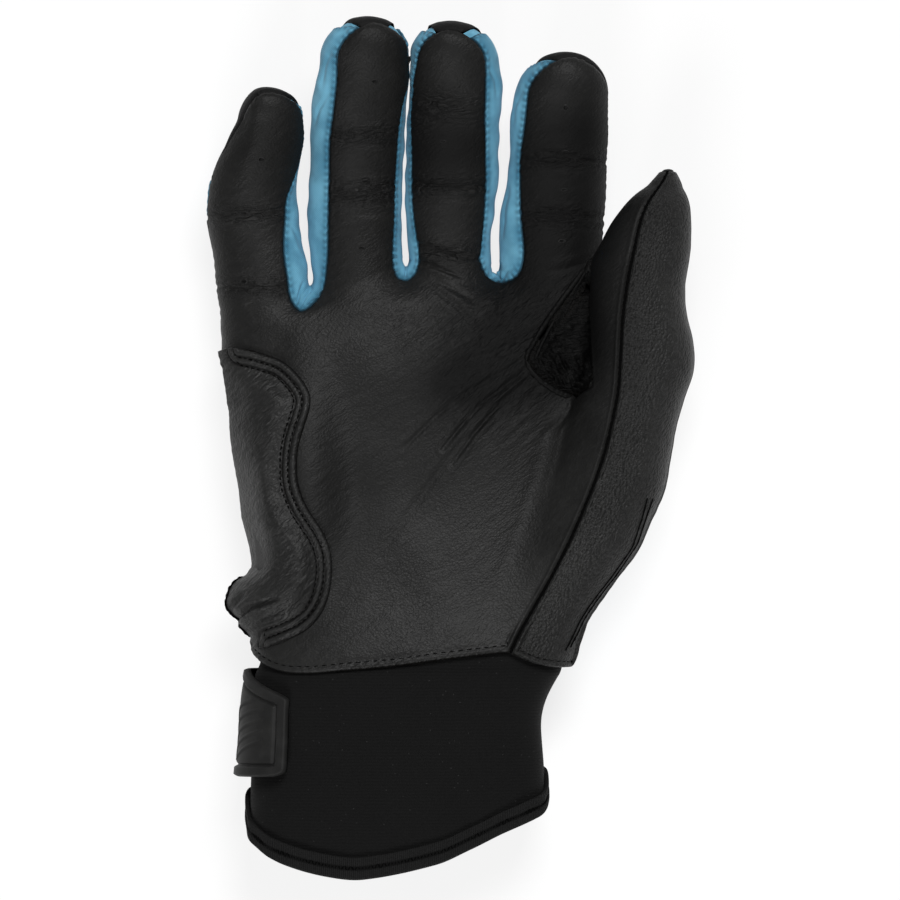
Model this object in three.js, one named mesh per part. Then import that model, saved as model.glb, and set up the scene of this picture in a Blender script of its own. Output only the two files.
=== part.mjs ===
// Batting glove for a right hand, built the way the real glove is sewn: flat pieces of leather,
// stretch fabric and neoprene that take the shape of a hand form and meet edge to edge at seams.
// Millimetres. X points to the thumb side, Y to the fingertips, Z up out of the palm.
// The glove lies on its back with the palm up. Its origin is the bottom centre of its box.
import * as THREE from 'three';

// Driving sizes of the hand form. Y runs from the wrist hem to the tip of the middle finger.
const palmWidth = 106; // across the knuckles
const handLength = 178; // wrist hem to the middle fingertip
const palmDepth = 31; // palm to back
const forkHeight = 19; // middle of the web of the thumb above the table
const forkDepth = 8; // half of its thickness
const palmHollow = 2.2; // dip in the middle of the palm
const heelRise = 35.5; // top of the mound at the heel of the hand
const thumbHeight = 22; // thumb line above the table at the wrist
const thumbRise = 15; // how far the thumb climbs from there to its tip
const fingerHeight = 16; // finger lines above the table at the knuckles
const fingerCurl = 19; // how far the fingertips rise over the knuckles
const tableBlend = 3; // softness round the flat back that the glove lies on
const bodyBlend = 7; // softness where thumb, heel and palm run together
const rootBlend = 5; // softness where a finger runs into the palm
const clearBlend = 2; // softness between two fingers
const knuckleEnd = 10; // length over which the palm rounds off between the fingers
const sideRound = 12; // how far in from its edges the hand turns over to the back

// Gauges of the materials and clearances at the seams
const leather = 1.2;
const stretchFabric = 0.9;
const neoprene = 2.6;
const webbing = 1.0;
const foam = 1.8;
const hookGauge = 1.2;
const loopGauge = 0.5;
const rubber = 1.9;
const tabRim = 0.5; // raised border of the moulded tab
const seamGap = 0.36; // between two pieces sewn edge to edge
const gussetInset = 0.7; // how far the loose gusset stays back from its seams
const layerGap = 0.3; // between two pieces that lie one on the other
const heelGap = 0.8; // under the padded patch, which lies over a strong curve

// Cuff and strap
const cuffTuck = 5; // cuff that runs up inside the leather
const tuckEase = 1; // how much closer it lies there
const cuffLength = 61.6; // hem to the lowest point of the cuff's edge
const slitWidth = 7; // opening in the back of the cuff
const slitTop = 9; // hem to the upper end of that opening
const bindingWidth = 6.4;
const strapWidth = 25;
const tabDrop = 3.4; // hem to the tab's upper edge
const tabHeight = 30;
const padInset = 2.6; // hook pad's edge inside the tab's edge
const floorGap = 1; // strap to table

// Counts
const fingerColumns = 6;
const crotchSteps = 4;
const fingerRows = 7;
const sideColumns = 3;
const tipRows = 4;
const stripColumns = 5;
const outerColumns = 6;
const thumbBackColumns = 9;
const slantRows = 2;
const gussetColumns = 5;
const cuffColumns = 40;
const cuffRows = 5;
const heelColumns = 6;
const trimRows = 3;
const trimColumns = 2;
const strapColumns = 8;
const tabColumns = 16;
const tabRows = 8;

// Small steps for measuring on the form
const stride = 1;
const probe = 0.02;
const halvings = 22;

// Places on the hand are shares: across ones of the palm breadth from the middle line, along ones
// of the hand length from the wrist hem, and depths of the palm depth.
// Fingers: along, across, half width. Seams: along, angle in degrees from straight up,
// positive to the thumb side.
const fingers = [
  {
    name: 'pinky',
    jointRows: [6, 8],
    tipShare: 0.899,
    roundShare: 0.849,
    cornerShare: 0.846,
    apexShare: 0.885,
    rightEnd: 75,
    curlShare: 0.8,
    lineShares: [
      [0.519, -0.497, 0.118], [0.566, -0.499, 0.122], [0.597, -0.497, 0.128],
      [0.629, -0.502, 0.126], [0.66, -0.512, 0.124], [0.692, -0.518, 0.126],
      [0.723, -0.522, 0.123], [0.755, -0.519, 0.122], [0.786, -0.509, 0.121],
      [0.818, -0.494, 0.115], [0.849, -0.483, 0.102], [0.899, -0.483, 0.102],
    ],
    leftShares: [
      [0.51, -90], [0.68, -88], [0.7, -80], [0.755, -80], [0.786, -78], [0.818, -70], [0.849, -62],
    ],
    rightShares: [
      [0.566, 43], [0.629, 38], [0.66, 46], [0.692, 51], [0.723, 56], [0.755, 74], [0.786, 84],
      [0.849, 84],
    ],
  },
  {
    name: 'ring',
    jointRows: [5, 7],
    tipShare: 1.009,
    roundShare: 0.943,
    cornerShare: 0.943,
    apexShare: 0.993,
    leftEnd: 41,
    rightEnd: 31,
    curlShare: 1,
    lineShares: [
      [0.535, -0.232, 0.118], [0.597, -0.239, 0.124], [0.66, -0.249, 0.128],
      [0.723, -0.249, 0.129], [0.755, -0.246, 0.127], [0.786, -0.243, 0.128],
      [0.818, -0.242, 0.129], [0.849, -0.239, 0.129], [0.881, -0.236, 0.129],
      [0.912, -0.225, 0.125], [0.943, -0.222, 0.122], [1.009, -0.213, 0.122],
    ],
    leftShares: [
      [0.597, -50], [0.629, -44], [0.66, -40], [0.692, -41], [0.723, -39], [0.786, -43],
      [0.818, -43], [0.849, -38], [0.881, -35], [0.912, -40], [0.943, -46],
    ],
    rightShares: [
      [0.597, 64], [0.629, 58], [0.66, 64], [0.723, 63], [0.786, 65], [0.849, 66], [0.881, 75],
      [0.912, 83], [0.943, 84],
    ],
  },
  {
    name: 'middle',
    jointRows: [5, 7],
    tipShare: 1.002,
    roundShare: 0.94,
    cornerShare: 0.94,
    apexShare: 0.983,
    leftEnd: 33,
    rightEnd: 44,
    curlShare: 1,
    lineShares: [
      [0.535, 0, 0.112], [0.597, 0, 0.111], [0.629, 0.003, 0.113], [0.66, 0, 0.115],
      [0.692, 0.002, 0.12], [0.723, 0.004, 0.125], [0.755, 0.008, 0.128], [0.786, 0.009, 0.127],
      [0.818, 0.01, 0.127], [0.849, 0.012, 0.127], [0.881, 0.019, 0.127], [0.912, 0.017, 0.125],
      [0.94, 0.015, 0.121], [1.002, 0.003, 0.119],
    ],
    leftShares: [
      [0.597, -56], [0.629, -52], [0.66, -57], [0.692, -62], [0.786, -66], [0.849, -70],
      [0.881, -76], [0.912, -70], [0.94, -63],
    ],
    rightShares: [
      [0.597, 62], [0.629, 57], [0.66, 59], [0.723, 57], [0.755, 52], [0.818, 52], [0.849, 49],
      [0.881, 44], [0.912, 48], [0.94, 52],
    ],
  },
  {
    name: 'index',
    jointRows: [5, 7],
    tipShare: 0.954,
    roundShare: 0.881,
    cornerShare: 0.893,
    apexShare: 0.941,
    leftEnd: 50,
    curlShare: 0.9,
    lineShares: [
      [0.55, 0.269, 0.134], [0.597, 0.266, 0.136], [0.629, 0.266, 0.136], [0.66, 0.268, 0.139],
      [0.692, 0.271, 0.139], [0.723, 0.278, 0.137], [0.755, 0.284, 0.133],
      [0.786, 0.287, 0.131], [0.818, 0.29, 0.133], [0.849, 0.291, 0.132],
      [0.881, 0.296, 0.128], [0.954, 0.309, 0.126],
    ],
    leftShares: [
      [0.597, -40], [0.629, -36], [0.66, -38], [0.692, -44], [0.723, -49], [0.755, -55],
      [0.786, -59], [0.818, -54], [0.849, -50], [0.893, -54],
    ],
    rightShares: [[0.55, 50], [0.616, 51], [0.645, 80], [0.67, 90], [0.893, 82]],
  },
];
const fingerDepthShare = 0.82; // of a finger's width
const knuckleShare = 0.56;
const curlPower = 2.2;
const tipBackShare = 0.6; // of the way over a tip, where its last row of cells starts
const backSeamTurn = 122; // where a side piece meets the back, in degrees from straight up

// Thumb: along, across, half width, height (of the thumb's rise)
const thumb = {
  name: 'thumb',
  tipShare: 0.775,
  roundShare: 0.739,
  lineShares: [
    [-0.157, 0.132, 0.106, 0], [-0.063, 0.153, 0.114, 0], [0, 0.195, 0.124, 0],
    [0.031, 0.217, 0.127, 0], [0.079, 0.254, 0.132, 0], [0.126, 0.304, 0.143, 0],
    [0.173, 0.349, 0.153, 0.02], [0.22, 0.383, 0.153, 0.05], [0.267, 0.415, 0.153, 0.1],
    [0.314, 0.436, 0.148, 0.17], [0.362, 0.454, 0.143, 0.26], [0.409, 0.478, 0.143, 0.36],
    [0.456, 0.502, 0.143, 0.46], [0.495, 0.505, 0.137, 0.55], [0.535, 0.498, 0.128, 0.65],
    [0.582, 0.497, 0.125, 0.76], [0.621, 0.502, 0.127, 0.83], [0.645, 0.515, 0.119, 0.87],
    [0.676, 0.53, 0.107, 0.92], [0.7, 0.543, 0.091, 0.95], [0.723, 0.555, 0.071, 0.98],
    [0.739, 0.565, 0.055, 1], [0.775, 0.576, 0.055, 1],
  ],
};
const thumbDepthShare = 0.88;
const thumbRootShare = 0.05;
const thumbFadeShare = 0.16;

// Palm and wrist: along, across, half width, wrist (1) or palm (0) at the back, top (of the depth)
const palmShares = [
  [-0.377, -0.136, 0.405, 1, 1.25], [-0.212, -0.136, 0.402, 1, 1.25],
  [-0.134, -0.137, 0.396, 1, 1.25], [-0.063, -0.132, 0.401, 1, 1.24],
  [0, -0.102, 0.419, 1, 1.21], [0.031, -0.103, 0.42, 0.85, 1.18],
  [0.094, -0.108, 0.42, 0.4, 1.11], [0.173, -0.1, 0.412, 0, 1.07],
  [0.252, -0.103, 0.425, 0, 1.03], [0.33, -0.104, 0.447, 0, 1.03],
  [0.409, -0.09, 0.474, 0, 1.01], [0.487, -0.1, 0.505, 0, 0.97],
  [0.566, -0.097, 0.518, 0, 0.87], [0.629, -0.097, 0.518, 0, 0.84],
];
const palmSinkShare = 0.06; // depth that the table takes off the rounded back
const squareness = 2.6; // 2 is an oval section, more is squarer
const webShares = [
  [-0.615, 0.565], [-0.391, 0.583], [-0.116, 0.605], [0.14, 0.6], [0.33, 0.61], [0.42, 0.606],
];
const mound = { acrossShare: -0.375, alongShare: 0.252, widthShare: 0.12, lengthShare: 0.236 };
const fork = { acrossShare: 0.4, alongShare: 0.5, widthShare: 0.1, lengthShare: 0.096 };
const hollow = { acrossShare: -0.05, alongShare: 0.36, widthShare: 0.26, lengthShare: 0.2 };

// Seams: across and along
const crotchShares = [
  [
    [-0.427, 0.632], [-0.423, 0.59], [-0.416, 0.563], [-0.405, 0.551], [-0.391, 0.546],
    [-0.372, 0.55], [-0.353, 0.563], [-0.333, 0.59], [-0.326, 0.632],
  ],
  [
    [-0.143, 0.64], [-0.144, 0.62], [-0.14, 0.607], [-0.131, 0.598], [-0.116, 0.595],
    [-0.102, 0.598], [-0.09, 0.608], [-0.083, 0.624], [-0.086, 0.645],
  ],
  [
    [0.081, 0.645], [0.082, 0.627], [0.092, 0.612], [0.112, 0.598], [0.14, 0.59],
    [0.166, 0.594], [0.185, 0.605], [0.193, 0.62], [0.19, 0.645],
  ],
];
const gussetShares = [
  [0.37, 0.616], [0.345, 0.594], [0.317, 0.57], [0.288, 0.545], [0.258, 0.519], [0.231, 0.497],
  [0.212, 0.478], [0.207, 0.464], [0.222, 0.45], [0.272, 0.428], [0.33, 0.409],
];
const thumbSeamShares = [
  [0.161, 0.008], [0.185, 0.041], [0.254, 0.11], [0.32, 0.187], [0.367, 0.252],
  [0.407, 0.316], [0.431, 0.377], [0.446, 0.426], [0.449, 0.483], [0.452, 0.531],
  [0.465, 0.585], [0.477, 0.62], [0.486, 0.645], [0.507, 0.7], [0.536, 0.73], [0.573, 0.765],
];
const hemShares = [
  [-0.56, 0.03], [-0.518, 0.02], [-0.494, -0.006], [-0.449, -0.022], [-0.372, -0.025],
  [-0.277, -0.02], [-0.148, -0.013], [-0.021, -0.003], [0.108, 0.006], [0.161, 0.008],
  [0.203, -0.005], [0.256, -0.013], [0.298, -0.014], [0.35, -0.012],
];
const heelEdgeShares = [
  [-0.433, 0.467], [-0.391, 0.442], [-0.365, 0.417], [-0.362, 0.396], [-0.38, 0.362],
  [-0.396, 0.333], [-0.399, 0.302], [-0.399, 0.274], [-0.375, 0.237], [-0.338, 0.206],
  [-0.314, 0.175], [-0.306, 0.143], [-0.309, 0.108], [-0.325, 0.074], [-0.362, 0.046],
];
// Thumb seams: along, angle. The first follows the crease to the palm, the second the outer side.
const creaseShares = [
  [0.409, -50], [0.45, -66], [0.5, -80], [0.55, -90], [0.585, -100], [0.62, -118], [0.65, -122],
  [0.7, -124], [0.765, -124],
];
const radialShares = [
  [-0.02, 84], [0.1, 84], [0.2, 88], [0.3, 96], [0.45, 100], [0.765, 104],
];
const stripStartShare = 0.377; // thumb seam level at which the palm's thumb strip starts
const gussetTopShare = 0.67; // level on the index finger at which the gusset starts
const webBedShare = 0.085; // bed of a web in the flesh, behind its seam
// Fork of the thumb: places of the back's seam from the index finger to the thumb
const forkShares = [[0.378, 0.594], [0.395, 0.58], [0.416, 0.576]];
// Rows of the gusset: a place inside the web and one in the open fork that they go past, each as
// shares across, along and of the palm depth
const forkBedShares = [
  [0.32, 0.575, 0.45, 0.435, 0.62, 0.55], [0.355, 0.56, 0.5, 0.415, 0.62, 0.58],
  [0.385, 0.555, 0.6, 0.41, 0.62, 0.65], [0.45, 0.58, 0.95, 0.405, 0.625, 0.8],
  [0.47, 0.6, 1, 0.4, 0.625, 0.85],
];
const forkInnerShare = 0.34; // the gusset's other rows are seen from this place across
const thumbBackShare = 0.6; // level at which the thumb's own back starts

const heelTopShare = 0.484;
const heelEndShare = 0.017;
const heelSideTurn = 6; // the patch ends this far in front of the ulnar side seam, in degrees
const heelBowShare = 0.012;
const padInsetShare = 0.2; // border of the patch outside its foam
const foldShare = 0.094; // level of the rolled fold at the patch's lower corner
const foldRise = 5;
const foldLength = 8;
const cuffEdgeShares = [
  [-180, 0.64], [-120, 0.69], [-90, 0.727], [-80, 0.795], [-63, 0.864], [-46, 0.932],
  [-27, 0.987], [-13, 1], [15, 0.932], [28, 0.864], [41, 0.795], [54, 0.75], [77, 0.692],
  [90, 0.63], [120, 0.6], [180, 0.62],
];
// Strap places round the wrist, in degrees from straight up in front
const strapStart = 163;
const tabStart = 220;
const tabEnd = 315;
const loopStart = 216;
const loopEnd = 300;
const padTurn = 6;
const climbShare = 0.4;
const tabCutShare = 0.6;
const tabCutUpperShare = 0.5;
const tabCutLowerShare = 0.06;
const tabRimShare = 0.13;

const degree = Math.PI / 180;
const strapStack = layerGap * 4 + loopGauge + hookGauge + webbing;
const wristLift = strapStack + floorGap;

const mix = (a, b, share) => a + (b - a) * share;
const clamp = (value, low, high) => Math.min(Math.max(value, low), high);

// Smooth curve through the rows of a table, level past its ends
function follow(rows, along, column) {
  const last = rows.length - 1;
  if (along <= rows[0][0]) return rows[0][column];
  if (along >= rows[last][0]) return rows[last][column];
  let i = 0;
  while (along > rows[i + 1][0]) i += 1;
  const slope = (k) => {
    const before = rows[Math.max(k - 1, 0)];
    const after = rows[Math.min(k + 1, last)];
    return (after[column] - before[column]) / (after[0] - before[0]);
  };
  const span = rows[i + 1][0] - rows[i][0];
  const t = (along - rows[i][0]) / span;
  const a = rows[i][column];
  const b = rows[i + 1][column];
  const left = slope(i) * span;
  const right = slope(i + 1) * span;
  const cubic = 2 * (a - b) + left + right;
  return a + t * (left + t * (b - a - left - cubic + t * cubic));
}

function smoothMin(a, b, blend) {
  const h = Math.max(blend - Math.abs(a - b), 0) / blend;
  return Math.min(a, b) - h * h * blend / 4;
}

// Centre line and half widths of a finger or the thumb at height y
function section(tube, y) {
  const along = y / handLength;
  const half = follow(tube.lineShares, along, 2) * palmWidth - leather;
  const x = follow(tube.lineShares, along, 1) * palmWidth;
  if (tube === thumb) {
    const lift = follow(tube.lineShares, along, 3) * thumbRise;
    return { x, z: thumbHeight + lift, half, deep: half * thumbDepthShare };
  }
  const t = clamp((along - knuckleShare) / (tube.tipShare - knuckleShare), 0, 1);
  const lift = fingerCurl * tube.curlShare * t ** curlPower;
  return { x, z: fingerHeight + lift, half, deep: half * fingerDepthShare };
}

// Rough distance to an oval tube with rounded ends
function tubeDistance(tube, x, y, z) {
  const { x: cx, z: cz, half, deep } = section(tube, y);
  const start = (tube === thumb ? thumbRootShare : knuckleShare) * handLength;
  const round = tube.roundShare * handLength;
  let over = 0;
  let length = tube.tipShare * handLength - leather - round;
  if (y > round) over = y - round;
  if (y < start) {
    over = start - y;
    length = (thumbFadeShare) * handLength;
  }
  const dx = x - cx;
  const dz = z - cz;
  const q = Math.hypot(dx / half, over / length, dz / deep);
  const slope = Math.hypot(dx / half ** 2, over / length ** 2, dz / deep ** 2);
  return slope > 0 ? q * (q - 1) / slope : -deep;
}

function palmSection(y) {
  const along = y / handLength;
  const top = follow(palmShares, along, 4) * palmDepth;
  const wrist = follow(palmShares, along, 3);
  const bottom = mix(-palmSinkShare * palmDepth, wristLift, wrist);
  return {
    x: follow(palmShares, along, 1) * palmWidth,
    z: (top + bottom) / 2,
    half: follow(palmShares, along, 2) * palmWidth - leather,
    deep: (top - bottom) / 2,
  };
}

function palmDistance(x, y, z) {
  const { x: cx, z: cz, half, deep } = palmSection(y);
  const dx = Math.abs(x - cx);
  const dz = Math.abs(z - cz);
  const end = follow(webShares, x / palmWidth, 1) * handLength;
  const over = Math.max(y - end + knuckleEnd, 0);
  const n = squareness;
  const s = ((dx / half) ** n + (dz / deep) ** n) ** (1 / n);
  const q = Math.hypot(s, over / knuckleEnd);
  if (q < 0.05) return -deep;
  const sx = (dx / half) ** (n - 1) / half;
  const sz = (dz / deep) ** (n - 1) / deep;
  const f = s > 0 ? s ** (1 - n) * s / q : 0;
  const slope = Math.hypot(f * sx, f * sz, over / knuckleEnd ** 2 / q);
  return slope > 0 ? (q - 1) / slope : -deep;
}

// Rounded swelling: the mound at the heel, the web of the thumb
function swelling(shape, middle, deep, x, y, z) {
  const half = shape.widthShare * palmWidth;
  const long = shape.lengthShare * handLength;
  const dx = x - shape.acrossShare * palmWidth;
  const dy = y - shape.alongShare * handLength;
  const dz = z - middle;
  const q = Math.hypot(dx / half, dy / long, dz / deep);
  const slope = Math.hypot(dx / half ** 2, dy / long ** 2, dz / deep ** 2);
  return slope > 0 ? q * (q - 1) / slope : -deep;
}

// The whole hand form: negative inside, zero on the inner face of the leather
function form(x, y, z) {
  let digits = tubeDistance(fingers[0], x, y, z);
  for (const finger of fingers.slice(1)) {
    digits = smoothMin(digits, tubeDistance(finger, x, y, z), clearBlend);
  }
  let body = smoothMin(palmDistance(x, y, z), swelling(mound, heelRise / 2, heelRise / 2, x, y, z), bodyBlend);
  body = smoothMin(body, swelling(fork, forkHeight, forkDepth, x, y, z), bodyBlend);
  body = smoothMin(body, tubeDistance(thumb, x, y, z), bodyBlend);
  const hand = smoothMin(body, digits, rootBlend);
  const across = (x / palmWidth - hollow.acrossShare) / hollow.widthShare;
  const along = (y / handLength - hollow.alongShare) / hollow.lengthShare;
  const upper = clamp(z / palmDepth * 2 - 1, 0, 1);
  const dip = palmHollow * Math.exp(-(across ** 2) - along ** 2) * upper;
  return -smoothMin(-hand - dip, z - leather, tableBlend);
}

// A place on the form: where it is and which way is out
function place(at) {
  const { x, y, z } = at;
  const out = new THREE.Vector3(
    form(x + probe, y, z) - form(x - probe, y, z),
    form(x, y + probe, z) - form(x, y - probe, z),
    form(x, y, z + probe) - form(x, y, z - probe),
  ).normalize();
  return { at, out };
}

// First place where a ray from inside leaves the form
function hit(origin, direction) {
  const ray = new THREE.Ray(origin, direction.clone().normalize());
  const at = new THREE.Vector3();
  const value = (t) => {
    ray.at(t, at);
    return form(at.x, at.y, at.z);
  };
  let near = 0;
  let far = stride;
  while (value(far) < 0 && far < palmWidth) {
    near = far;
    far += stride;
  }
  for (let k = 0; k < halvings; k += 1) {
    const middle = (near + far) / 2;
    if (value(middle) < 0) near = middle;
    else far = middle;
  }
  ray.at((near + far) / 2, at);
  return place(at);
}

const vector = (x, y, z) => new THREE.Vector3(x, y, z);

function axis(tube, y) {
  const { x, z } = section(tube, Math.min(y, tube.tipShare * handLength - leather * 2));
  return vector(x, Math.min(y, tube.tipShare * handLength - leather * 2), z);
}

function atTurn(tube, y, degrees) {
  const angle = degrees * degree;
  return hit(axis(tube, y), vector(Math.sin(angle), 0, Math.cos(angle)));
}

// Place between two places, seen from an origin inside the form
function sweep(origin, a, b, share) {
  const from = a.at.clone().sub(origin).normalize();
  const to = b.at.clone().sub(origin).normalize();
  const angle = from.angleTo(to);
  if (angle < probe) return a;
  const direction = from.multiplyScalar(Math.sin((1 - share) * angle));
  direction.add(to.multiplyScalar(Math.sin(share * angle)));
  return hit(origin, direction);
}

// The same, led past a third place, for rows that go round a free edge
function sweepPast(origin, a, past, b, share) {
  const toward = (target) => target.clone().sub(origin).normalize();
  const direction = toward(a.at).multiplyScalar((1 - share) ** 2);
  direction.addScaledVector(toward(past), share * (1 - share) * 3);
  direction.addScaledVector(toward(b.at), share ** 2);
  return hit(origin, direction);
}

// The same from an origin that moves from one place in the flesh to another
function sweepBetween(start, end, a, past, b, share) {
  const origin = start.clone().lerp(end, share);
  const direction = a.at.clone().sub(start).normalize().multiplyScalar((1 - share) ** 2);
  const middle = past.clone().sub(start.clone().lerp(end, 1 / 2)).normalize();
  direction.addScaledVector(middle, share * (1 - share) * 3);
  direction.addScaledVector(b.at.clone().sub(end).normalize(), share ** 2);
  return hit(origin, direction);
}

// A height inside the form over a place on the plan
function inside(x, y) {
  const heights = [palmSection(y).z, section(thumb, y).z];
  for (const finger of fingers) heights.push(section(finger, y).z);
  let best = heights[0];
  for (const z of heights) if (form(x, y, z) < form(x, y, best)) best = z;
  return best;
}

// Front (1) or back (-1) of the hand over a place on the plan. Near its edges the ray leans out.
function laid(x, y, side) {
  const left = edge(y, -1) + sideRound;
  const right = edge(y, 1) - sideRound;
  const from = clamp(x, left, right);
  const lean = clamp((x - from) / sideRound, -1, 1);
  const rise = Math.sqrt(Math.max(1 - lean ** 2, 0));
  return hit(vector(from, y, inside(from, y)), vector(lean, 0, side * rise));
}

const edges = new Map();
function edge(y, side) {
  const key = `${side} ${y}`;
  if (!edges.has(key)) {
    const { x, z } = side < 0 ? palmSection(y) : section(thumb, y);
    edges.set(key, hit(vector(x, y, z), vector(side, 0, 0)).at.x);
  }
  return edges.get(key);
}

// Front place whose outer face has a given place on the plan
function front(across, along, gauge = leather) {
  const x = across * palmWidth;
  const y = along * handLength;
  let found = hit(vector(x, y, inside(x, y)), vector(0, 0, 1));
  for (let k = 0; k < 3; k += 1) {
    const px = x - found.out.x * gauge;
    const py = y - found.out.y * gauge;
    found = hit(vector(px, py, inside(px, py)), vector(0, 0, 1));
  }
  return found;
}

function below(x, y) {
  return hit(vector(x, y, inside(x, y)), vector(0, 0, -1));
}

// Sheets: lists of places and four-sided cells
function newSheet() {
  return { places: [], cells: [] };
}

function addCells(sheet, places, cells) {
  const start = sheet.places.length;
  let facing = 0;
  for (const cell of cells) {
    const [a, b, c] = cell.map((k) => places[k].at);
    const d = places[cell[cell.length - 1]].at;
    const normal = c.clone().sub(a).cross(d.clone().sub(b));
    facing += normal.dot(places[cell[0]].out);
  }
  sheet.places.push(...places);
  for (const cell of cells) {
    const turned = facing < 0 ? [...cell].reverse() : cell;
    sheet.cells.push(turned.map((k) => k + start));
  }
}

// Rows of places as a sheet that faces out
function addGrid(sheet, rows) {
  const count = rows[0].length;
  const cells = [];
  for (let i = 0; i < rows.length - 1; i += 1) {
    for (let j = 0; j < count - 1; j += 1) {
      const a = i * count + j;
      cells.push([a, a + 1, a + count + 1, a + count]);
    }
  }
  addCells(sheet, rows.flat(), cells);
}

// Joins places that several grids share, so that they make one sheet
function joined(sheet) {
  const known = new Map();
  const places = [];
  const names = sheet.places.map((spot) => {
    const key = spot.at.toArray().map((v) => Math.round(v / probe)).join(' ');
    if (!known.has(key)) {
      known.set(key, places.length);
      places.push(spot);
    }
    return known.get(key);
  });
  const cells = sheet.cells
    .map((cell) => cell.map((k) => names[k]).filter((k, i, all) => all.indexOf(k) === i))
    .filter((cell) => cell.length > 2);
  return { places, cells };
}

function borders(cells) {
  const used = new Set();
  for (const cell of cells) {
    cell.forEach((a, i) => used.add(`${a} ${cell[(i + 1) % cell.length]}`));
  }
  const open = [];
  for (const cell of cells) {
    cell.forEach((a, i) => {
      const b = cell[(i + 1) % cell.length];
      if (!used.has(`${b} ${a}`)) open.push([a, b]);
    });
  }
  return open;
}

// Draws the border of a sheet in by half a seam gap, along the sheet
function drawnIn(sheet, distance = seamGap / 2) {
  const inward = new Map();
  for (const [a, b] of borders(sheet.cells)) {
    const run = sheet.places[b].at.clone().sub(sheet.places[a].at).normalize();
    for (const k of [a, b]) {
      const across = sheet.places[k].out.clone().cross(run).normalize();
      if (!inward.has(k)) inward.set(k, []);
      inward.get(k).push(across);
    }
  }
  const places = sheet.places.map((spot, k) => {
    if (!inward.has(k)) return spot;
    const sum = new THREE.Vector3();
    for (const v of inward.get(k)) sum.add(v);
    const count = inward.get(k).length;
    const share = Math.max(sum.lengthSq() / count ** 2, 0.3);
    const shift = sum.multiplyScalar(distance / count / share);
    return { ...spot, at: spot.at.clone().add(shift) };
  });
  return { places, cells: sheet.cells };
}

// Closed solid between two offsets of a sheet
function solid(sheet, low, high) {
  const count = sheet.places.length;
  const positions = [];
  const offset = (value, spot, k) => (typeof value === 'function' ? value(spot, k) : value);
  for (const value of [high, low]) {
    sheet.places.forEach((spot, k) => {
      positions.push(...spot.at.clone().addScaledVector(spot.out, offset(value, { ...spot, ...spot.more }, k)));
    });
  }
  const index = [];
  const fan = (cell) => {
    for (let i = 1; i < cell.length - 1; i += 1) index.push(cell[0], cell[i], cell[i + 1]);
  };
  for (const cell of sheet.cells) {
    fan(cell);
    fan(cell.map((k) => k + count).reverse());
  }
  for (const [a, b] of borders(sheet.cells)) fan([b, a, a + count, b + count]);
  const geometry = new THREE.BufferGeometry();
  geometry.setAttribute('position', new THREE.Float32BufferAttribute(positions, 3));
  geometry.setIndex(index);
  return geometry;
}

const group = new THREE.Group();
function add(name, geometry, look) {
  const mesh = new THREE.Mesh(geometry, new THREE.MeshStandardMaterial(look));
  mesh.name = name;
  group.add(mesh);
}

const blackLeather = { color: 0x2b2b2d, roughness: 0.55, metalness: 0 };
const grainLeather = { color: 0x252527, roughness: 0.6, metalness: 0 };
const blueFabric = { color: 0x5aa7cb, roughness: 0.75, metalness: 0 };
const backFabric = { color: 0x202022, roughness: 0.8, metalness: 0 };
const blackNeoprene = { color: 0x141416, roughness: 0.85, metalness: 0 };
const blackRubber = { color: 0x1a1a1c, roughness: 0.5, metalness: 0 };

function sew(name, sheet, look, low = 0, high = leather, inset = seamGap / 2) {
  add(name, solid(drawnIn(joined(sheet), inset), low, high), look);
}

const spread = (count) => Array.from({ length: count + 1 }, (_, i) => i / count);
const rounded = (count) => spread(count).map((t) => (1 - Math.cos(t * Math.PI)) / 2);

// Palm-side and back seams of every finger, from the root (row 0) up to the corner of its tip
const webs = crotchShares.map((points) => ({
  palm: points.map(([across, along]) => front(across, along)),
  back: points.map(([across, along]) => below(across * palmWidth, along * handLength)),
}));
const cornerRow = crotchSteps + fingerRows;

// A side next to another finger: its lowest rows run down to the web between the two
function innerSide(finger, web, step) {
  const table = step > 0 ? finger.leftShares : finger.rightShares;
  const backTurn = -step * backSeamTurn;
  const palm = [];
  const back = [];
  for (let k = 0; k < crotchSteps; k += 1) {
    palm.push(web.palm[crotchSteps + step * k]);
    back.push(web.back[crotchSteps + step * k]);
  }
  const level = web.palm[crotchSteps + step * crotchSteps].at.y;
  for (const t of spread(fingerRows)) {
    const y = mix(level, finger.cornerShare * handLength, t);
    palm.push(atTurn(finger, y, follow(table, y / handLength, 1)));
    back.push(atTurn(finger, y, backTurn));
  }
  return { palm, back };
}

// The outer side of the first or last finger: one seam joins palm and back, and by the thumb it
// opens towards its root, where the thumb's gusset starts
function outerSide(finger, table, root, level, opens) {
  const palm = [];
  const back = [];
  for (let k = 0; k <= cornerRow; k += 1) {
    const top = finger.cornerShare * handLength;
    const lower = mix(root, level, k / crotchSteps);
    const y = k < crotchSteps ? lower : mix(level, top, (k - crotchSteps) / fingerRows);
    const angle = follow(table, y / handLength, 1);
    const open = opens ? Math.max(1 - k / crotchSteps, 0) : 0;
    palm.push(atTurn(finger, y, angle));
    back.push(open > 0 ? atTurn(finger, y, mix(angle, backSeamTurn, open)) : palm[k]);
  }
  return { palm, back };
}

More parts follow.
